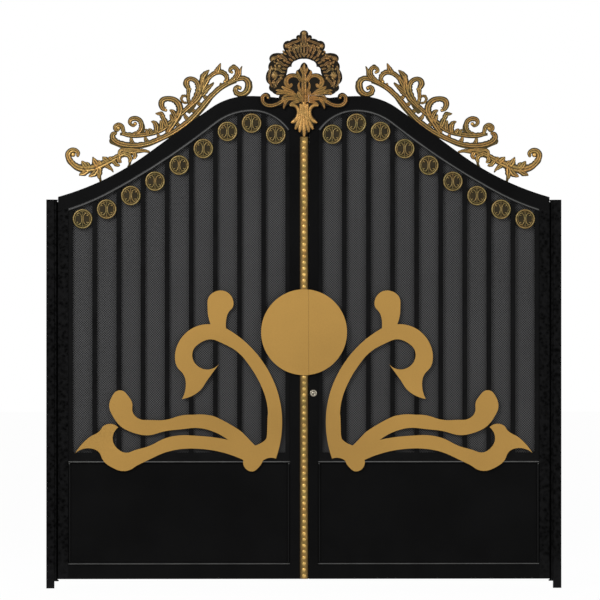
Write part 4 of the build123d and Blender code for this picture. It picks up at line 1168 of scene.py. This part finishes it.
class GATE_OT_crest(bpy.types.Operator):
    """Make the wreath, palmette, scroll arms and fan of the crest"""
    bl_idname = "gate.crest"
    bl_label = "Crest"

    # Depths of the relief, the arms and the rosettes' hearts, height behind, and ease of the plates' edges
    face, arm_face, heart_face, behind, plate_ease = -16.0, -15.0, -21.0, 4.0, 0.003
    # How much broader than drawn the palmette and the flutes come out, and a heart's share of its rosette
    palmette_broad, flute_broad, heart_share = 1.15, 1.3, 0.36
    # Leaflets along the arch: how far they lean along it and reach out, and half widths along each
    leaflet_lean, leaflet_reach, leaflet_halves = 9, 24.0, ((-0.1, 6.5), (0.5, 9.5), (1.0, 3.0))
    # Buds: depth, shifts off the arch in turn, stretch, least and greatest share of the size, and seed
    bud_depth, bud_shifts, bud_shape = -18.5, ((-4,), (-8, 8)), (1.2, 0.5, 0.7)
    bud_shares, bud_seed = (0.45, 0.85), 7
    # Picture rows between which the wreath parts from the right leaf's base
    parting_rows = (95.17, 95.28)
    # Routes of the left half in picture places with half widths
    wreath_leaves = (
        ((299.6, 40.6, 1.2), (294, 42.6, 1.6), (288.4, 44.8, 1.6), (285.4, 47.8, 1.3)),
        ((283, 55, 1.2), (277, 57.2, 1.7), (272.4, 58.2, 1.6), (271, 61.6, 1.1)),
        ((271.4, 66, 1.2), (269.9, 71, 1.6), (268.8, 77, 1.6), (269.8, 83, 1.3), (272.2, 87.4, 0.9)),
        ((301, 42.6, 1.2), (300.6, 49, 1.2), (301.5, 53.8, 1.2), (304, 55.2, 1.1)),
        ((301.4, 41, 1.6), (299, 39, 1.5), (298.2, 37.4, 0.7)),
        ((296, 54.4, 1.4), (293.4, 49.6, 1.9), (294.6, 45.4, 1.3)),
        ((291, 57, 1.4), (288.8, 52.4, 1.8), (290, 48.2, 1.1)),
        ((298.4, 53, 1.3), (297.4, 48.4, 1.6), (298.6, 44.6, 0.9)),
        ((287, 60.8, 1.4), (283.6, 57.8, 1.9), (279.8, 58.6, 1.3)),
        ((284, 66, 1.4), (280.4, 63, 1.9), (276, 63.6, 1.3)),
        ((281.6, 72, 1.4), (278.2, 69.2, 2.0), (274.2, 69.6, 1.4)),
        ((280.2, 79.8, 1.4), (277.6, 81.8, 1.9), (276.2, 85.6, 0.9)),
        ((274.2, 88.4, 0.7), (274.4, 84.6, 1.6), (273, 80.4, 1.4)),
    )
    inner_arch = ((304, 56.6, 1.0), (297.6, 57.8, 1.0), (292.2, 60.8, 1.0), (287.6, 66, 1.0),
                  (284.4, 72.2, 1.0), (282.2, 78.8, 1.0))
    bud_arch = ((275, 86, 1), (274, 76, 1), (274.5, 66, 1), (279.5, 57.5, 1), (287, 51, 1), (296, 46.5, 1),
                (304, 44, 1))
    crown = (
        ((304, 54, 1.1), (304, 43.4, 1.5)), ((304, 44, 2.8), (304, 38.4, 3.5), (304, 33, 2.0)),
    )
    # Rosettes in picture places, with radii and numbers of petals
    rosettes = ((274.6, 75.4, 4.2, 6), (286.6, 46.2, 2.8, 5), (273.8, 58.8, 2.6, 5), (279.4, 66.4, 2.3, 5),
                (290.8, 47, 1.9, 5), (281, 78.2, 2.0, 5), (284.4, 60.6, 2.0, 5), (294.6, 52.2, 1.7, 5),
                (304, 33.4, 3.0, 0))
    stem = ((304, 104, 3.4), (304, 97, 3.2), (304, 89, 3.6), (304, 81, 3.2), (304, 73, 2.7), (304, 67.4, 2.0),
            (304, 63.4, 0.9))
    palmette = (
        ((302.5, 82, 1.6), (299.4, 77.2, 2.0), (297.5, 73.4, 1.7), (297.2, 70.8, 0.7)),
        ((303, 74, 1.4), (301.3, 70.4, 1.7), (300.6, 67.4, 0.7)),
        ((302, 94, 1.4), (299.4, 89.5, 1.8), (298.5, 85.4, 1.4), (299.2, 82.4, 0.6)),
        ((300.4, 82, 1.3), (298.4, 78, 1.7), (294.8, 75.9, 2.1), (290.4, 76.2, 2.4), (287, 78.8, 2.7),
         (286, 82.6, 3.0), (287.8, 86, 3.0), (290.6, 86, 2.2), (291.6, 83.8, 1.4)),
        ((302, 100, 1.6), (296, 95.6, 2.4), (289, 92.6, 3.0), (282, 92.2, 2.9), (276.4, 94, 1.3)),
        ((298, 97, 1.4), (291, 91.6, 2.4), (285.6, 89, 2.8), (281.8, 86.8, 1.1)),
        ((284, 92, 2.0), (279, 90.6, 1.8), (275.8, 90.4, 0.7)),
        ((299.5, 99.8, 1.1), (294.4, 96.6, 1.3), (289, 95, 1.4), (284.6, 96.2, 1.3), (281.8, 98.8, 0.9)),
        ((302, 101, 1.6), (296.4, 99.6, 2.2), (290, 98.6, 2.6), (284.6, 99.6, 2.4), (281, 101.6, 1.5)),
        ((289, 98.5, 2.2), (286, 101.6, 2.2), (284.4, 105.2, 1.6), (283.5, 108.6, 0.7)),
        ((299, 101.6, 1.6), (294, 102.6, 2.0), (290.8, 104.6, 1.8), (289.8, 106, 0.9)),
        ((303, 100, 1.6), (300.4, 97, 2.6), (298.8, 94, 2.4), (298.4, 91, 0.8)),
    )
    flutes = (
        ((290.4, 105.4, 1.4), (294.6, 105.6, 1.8), (297.6, 108.6, 1.8), (298.4, 113.4, 1.8),
         (297.2, 118, 2.2), (294.4, 121.2, 2.4), (291.2, 122.8, 1.0)),
        ((300.4, 104, 1.4), (300.6, 112, 1.4), (299.4, 119.6, 2.0), (297, 125.6, 2.4), (295.2, 129.2, 1.1)),
        ((302.2, 104, 1.2), (302.4, 113, 1.3), (301.4, 122, 1.9), (300, 128.6, 2.2), (299.4, 132, 1.1)),
    )
    middle_flute = ((304, 102, 1.8), (304, 112, 1.3), (304, 122, 1.8), (304, 130, 2.3), (304, 136.4, 1.3))
    arm = ((297, 99, 1.4), (289, 99.5, 2.4), (282.5, 101.2, 2.6), (277, 104.2, 2.4), (271.3, 105.7, 2.4),
           (266.2, 105, 2.4), (263, 102, 2.4), (262.4, 98, 2.4), (264.4, 95.4, 2.1), (267, 95.6, 1.7),
           (267.8, 97.8, 1.2))

    def execute(self, context):
        self.wreath(context)
        self.base()
        return {"FINISHED"}

    def wreath(self, context):
        """Plate, leaves and buds that ride the left leaf as one."""
        plate = node_plate("crest_wreath", self.plate_ease)
        piece("crest_wreath_plate", plate, finish("cast_recess"), "left_leaf", ("crest_wreath",))
        form = Moulding()
        for route in self.wreath_leaves:
            for line in both(from_pixels(route)):
                form.sweep(line, self.face, front=8.5, back=self.behind, lobes=len(route), lobe=0.45,
                           vein=0.5)
        arch = curved(from_pixels(self.inner_arch), steps=2)
        lean, reach = self.leaflet_lean, self.leaflet_reach
        for (x, z, _), (rx, rz) in zip(arch, heading(arch)):
            leaflet = [(x + rx * lean * k + rz * reach * k, z + rz * lean * k - rx * reach * k, half)
                       for k, half in self.leaflet_halves]
            for line in both(leaflet):
                form.sweep(line, self.face, front=8.0, back=self.behind, vein=0.4)
        for route in self.crown:
            form.sweep(from_pixels(route), self.face, front=9.0, back=self.behind, lobes=3, lobe=0.3,
                       vein=0.5)
        for x, y, radius, petals in self.rosettes:
            for line in both(from_pixels(((x, y, radius),)))[:1 if x == PICTURE_MIDDLE else 2]:
                across, up, wide = line[0]
                form.knob(across, up, self.face, wide, tall=9.0, petals=petals, around=20,
                          cut=0.2 if petals else 0.0)
                if petals:
                    form.knob(across, up, self.heart_face, wide * self.heart_share, tall=5.0, around=10)
        relief = form.mesh("wreath_relief")
        piece("crest_wreath_relief", relief, finish("wreath_gold"), "left_leaf")
        piece("crest_wreath_buds", self.buds(context), None, "left_leaf")

    def buds(self, context):
        """Small buds strewn along the wreath's arch."""
        arch = curved(from_pixels(self.bud_arch), steps=3)
        places = [at(side * (x - rz * shift), self.bud_depth, z + rx * shift)
                  for index, ((x, z, _), (rx, rz)) in enumerate(zip(arch, heading(arch)))
                  for shift in self.bud_shifts[index % 2] for side in (1, -1)]
        writer, given = geometry_tree("Wreath Buds", (
            ("Size", "Float", 0.012), ("Seed", "Int", self.bud_seed), ("Material", "Material", None)))
        bud = writer.geo("MeshIcoSphere", {"Radius": given["Size"], "Subdivisions": 2})
        flat = writer.geo("Transform", {"Geometry": bud, "Scale": self.bud_shape})
        size, spin = (
            writer.add("FunctionNodeRandomValue", {2: low, 3: high, "Seed": given["Seed"]},
                       data_type="FLOAT").outputs[1]
            for low, high in (self.bud_shares, (0.0, math.tau)))
        strewn = writer.geo("InstanceOnPoints", {"Points": given["Geometry"], "Instance": flat,
                                                 "Rotation": writer.vector(y=spin), "Scale": size})
        tree = close_tree(writer, strewn, given["Material"])
        return grown("crest_wreath_buds", point_mesh("bud_places", places), tree, {
            "Size": context.scene.gate_sizes.bud_size, "Seed": self.bud_seed,
            "Material": finish("wreath_gold")})

    def base(self):
        """Palmette, fan and arms, parted where the leaves part."""
        leafage, arms = Moulding(), Moulding()
        leafage.sweep(from_pixels(self.stem), self.face, front=9.5, back=self.behind, lobes=4, lobe=0.2,
                      vein=0.5)
        leafage.sweep(from_pixels(self.middle_flute) * (1, 1, self.flute_broad), self.face, front=10.0,
                      back=self.behind)
        for routes, broad, vein in ((self.palmette, self.palmette_broad, 0.3),
                                    (self.flutes, self.flute_broad, 0.0)):
            for route in routes:
                for line in both(from_pixels(route) * (1, 1, broad)):
                    leafage.sweep(line, self.face, front=9.0, back=self.behind, vein=vein)
        for line in both(from_pixels(self.arm)):
            arms.sweep(line, self.arm_face, front=8.5, back=self.behind, vein=0.45, steps=7)
            arms.knob(line[-1][0], line[-1][1], self.arm_face, radius=9.0, tall=9.5)
        foot, top = (from_pixels(((0, row, 0),))[0][1] * MM for row in self.parting_rows)
        whole, curls = leafage.mesh("crest_leafage"), arms.mesh("crest_arms")
        left, right = (1, 0, 0), (-1, 0, 0)
        above, below = (0, 0, -1), (0, 0, 1)
        for name, side, source, cuts in (
                ("crest_palmette", "left", whole, (((0, 0, foot), above),)),
                ("left_crest_relief", "left", whole,
                 (((0, 0, foot), below), ((LEFT_EDGE + LAP, 0, 0), left))),
                ("right_crest_relief", "right", whole,
                 (((0, 0, top), below), ((RIGHT_EDGE - LAP, 0, 0), right))),
                ("left_crest_arm", "left", curls, (((LEFT_EDGE, 0, 0), left),)),
                ("right_crest_arm", "right", curls, (((RIGHT_EDGE, 0, 0), right),))):
            half = source.copy()
            for place, normal in cuts:
                cut_mesh(half, place, normal)
            piece(name, half, finish("cast_gold"), side + "_leaf")
        for node in sides("crest"):
            plate = node_plate(node, self.plate_ease)
            piece(node + "_plate", plate, finish("cast_recess"), leaf_of(node), (node,))
        bpy.data.meshes.remove(whole)
        bpy.data.meshes.remove(curls)


class GATE_OT_lock(bpy.types.Operator):
    """Turn the lock's rose and its key cylinder"""
    bl_idname = "gate.lock"
    bl_label = "Lock Rose"

    # Turned section: radius, depth and ridge, which sets where the steel is painted dark as painted shade; then
    # the points around it
    section = ((20.5, 0.0, 0.2), (20.5, -3.0, 0.7), (19.0, -5.2, 1.0), (16.5, -6.0, 1.0), (11.5, -6.0, 0.8),
               (10.0, -4.6, 0.1), (9.0, -4.6, 0.1), (8.5, -9.0, 0.8), (7.6, -10.0, 1.0))
    around = 40
    # Outline of the keyway about the lock's middle, and the depths between which it is painted dark as painted
    # shade
    keyway = ((-1.7, -5.8), (1.7, -5.8), (1.7, 1.2), (3.2, 4.6), (-3.2, 4.6), (-1.7, 1.2))
    keyway_depths = (-9.5, -10.15)

    def execute(self, context):
        low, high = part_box("lock_rose")
        x = ((low.x + high.x) / 2 - CENTRE) / MM
        z = (low.z + high.z) / 2 / MM
        turns = [k * math.tau / self.around for k in range(self.around)]
        form = Moulding()
        form.add([(x + r * math.cos(turn), depth, z + r * math.sin(turn)) for r, depth, _ in self.section
                  for turn in turns], closed_faces(len(self.section), self.around),
                 [shine for _, _, shine in self.section for _ in turns])
        count = len(self.keyway)
        form.add([(x + u, depth, z + v) for depth in self.keyway_depths for u, v in self.keyway],
                 closed_faces(2, count), [0.0] * 2 * count)
        mesh = form.mesh("lock_rose_turned")
        piece("lock_rose_turned", mesh, finish("lock_steel"), "right_leaf", ("lock_rose",))
        return {"FINISHED"}


class GATE_OT_stage(bpy.types.Operator):
    """Set up the floor, the light and the camera"""
    bl_idname = "gate.stage"
    bl_label = "Stage"

    # Key lamp's place from the gate's middle and its size; then the other lamps with their powers
    key_lamp = ("key", (-3.4, -5.6, 4.8), 3.0)
    other_lamps = (("fill", (4.4, -5.2, 2.6), 4.0, 100.0), ("rim", (0.6, 3.8, 5.4), 3.0, 120.0))
    # Height that the lamps aim at, and the camera's height and shift from the middle
    aim_height, eye_height, eye_shift = 1.5, 1.6776, -0.0233
    # Half width of the floor, how far it lies under the gate, and the share of it that glows
    floor_reach, floor_drop, floor_glow = 60.0, 0.0005, 0.97
    # Strength of the world's light on the gate
    world_light = 0.42

    def execute(self, context):
        settings = context.scene.gate_stage
        context.scene.view_settings.view_transform = "Standard"
        self.floor()
        self.world(context)
        for name, place, size, power in ((*self.key_lamp, settings.key_power), *self.other_lamps):
            data = bpy.data.lights.new(name, "AREA")
            data.energy, data.size = power, size
            lamp = linked(name, data)
            lamp.location = Vector((CENTRE, 0, 0)) + Vector(place)
            aim = Vector((CENTRE, 0, self.aim_height)) - lamp.location
            lamp.rotation_mode = "QUATERNION"
            lamp.rotation_quaternion = aim.to_track_quat("-Z", "Y")
        data = bpy.data.cameras.new("camera")
        data.sensor_width = 36.0
        data.lens = data.sensor_width * settings.camera_distance / settings.view_width
        data.clip_end = 500.0
        camera = linked("camera", data)
        turn = settings.camera_turn
        camera.location = (CENTRE + self.eye_shift - settings.camera_distance * math.sin(turn),
                           FRONT - settings.camera_distance * math.cos(turn), self.eye_height)
        camera.rotation_euler = (math.pi / 2, 0, -turn)
        context.scene.camera = camera
        return {"FINISHED"}

    def floor(self):
        """Wide white floor that fades into the world."""
        mesh = bpy.data.meshes.new("floor")
        corners = ((-1, -1), (1, -1), (1, 1), (-1, 1))
        mesh.from_pydata([(x * self.floor_reach, y * self.floor_reach, 0) for x, y in corners], [],
                         [(0, 1, 2, 3)])
        made = linked("floor", mesh)
        made.location = (CENTRE, 0, -self.floor_drop)
        material = bpy.data.materials.new("floor_white")
        material.use_nodes = True
        material.node_tree.nodes.clear()
        writer = Tree(material.node_tree)
        coat = writer.out("ShaderNodeBsdfPrincipled", {
            "Base Color": (0.88, 0.88, 0.88, 1.0), "Roughness": 0.9, "Specular IOR Level": 0.1})
        glow = writer.out("ShaderNodeEmission", {"Color": (1, 1, 1, 1), "Strength": 1.0})
        share = writer.times(self.seen(writer), self.floor_glow)
        surface = writer.out("ShaderNodeMixShader", {0: share, 1: coat, 2: glow})
        writer.add("ShaderNodeOutputMaterial", {"Surface": surface})
        mesh.materials.append(material)

    def seen(self, writer):
        """One for rays from the camera, from gloss and through glass."""
        path = writer.add("ShaderNodeLightPath").outputs
        either = writer.math("MAXIMUM", path["Is Camera Ray"], path["Is Glossy Ray"])
        return writer.math("MAXIMUM", either, path["Is Transmission Ray"])

    def world(self, context):
        """White surround, dimmer as a light than as it is seen."""
        world = bpy.data.worlds.new("studio")
        context.scene.world = world
        world.use_nodes = True
        world.node_tree.nodes.clear()
        writer = Tree(world.node_tree)
        strength = writer.ranged(self.seen(writer), 0.0, 1.0, self.world_light, 1.0)
        light = writer.out("ShaderNodeBackground", {"Color": (1, 1, 1, 1), "Strength": strength})
        writer.add("ShaderNodeOutputWorld", {"Surface": light})


WORK = (GATE_OT_paint_frame, GATE_OT_bead_strip, GATE_OT_rondels, GATE_OT_castings, GATE_OT_crest, GATE_OT_lock,
        GATE_OT_stage)


class GATE_PT_panel(bpy.types.Panel):
    """Lists the gate's steps"""
    bl_idname = "GATE_PT_panel"
    bl_label = "Gate"
    bl_space_type = "VIEW_3D"
    bl_region_type = "UI"
    bl_category = "Gate"

    def draw(self, context):
        for settings in (context.scene.gate_sizes, context.scene.gate_colours, context.scene.gate_stage):
            for name in settings.bl_rna.properties.keys():
                if name not in ("rna_type", "name"):
                    self.layout.prop(settings, name)
        for step in WORK:
            self.layout.operator(step.bl_idname)


CLASSES = (GateSizes, GateColours, GateStage, *WORK, GATE_PT_panel)


def register():
    for made in CLASSES:
        bpy.utils.register_class(made)
    bpy.types.Scene.gate_sizes = bpy.props.PointerProperty(type=GateSizes)
    bpy.types.Scene.gate_colours = bpy.props.PointerProperty(type=GateColours)
    bpy.types.Scene.gate_stage = bpy.props.PointerProperty(type=GateStage)


def unregister():
    del bpy.types.Scene.gate_stage
    del bpy.types.Scene.gate_colours
    del bpy.types.Scene.gate_sizes
    for made in reversed(CLASSES):
        bpy.utils.unregister_class(made)


def main():
    register()
    bpy.ops.gate.paint_frame()
    bpy.ops.gate.bead_strip()
    bpy.ops.gate.rondels()
    bpy.ops.gate.castings()
    bpy.ops.gate.crest()
    bpy.ops.gate.lock()
    bpy.ops.gate.stage()


if __name__ == "__main__":
    main()
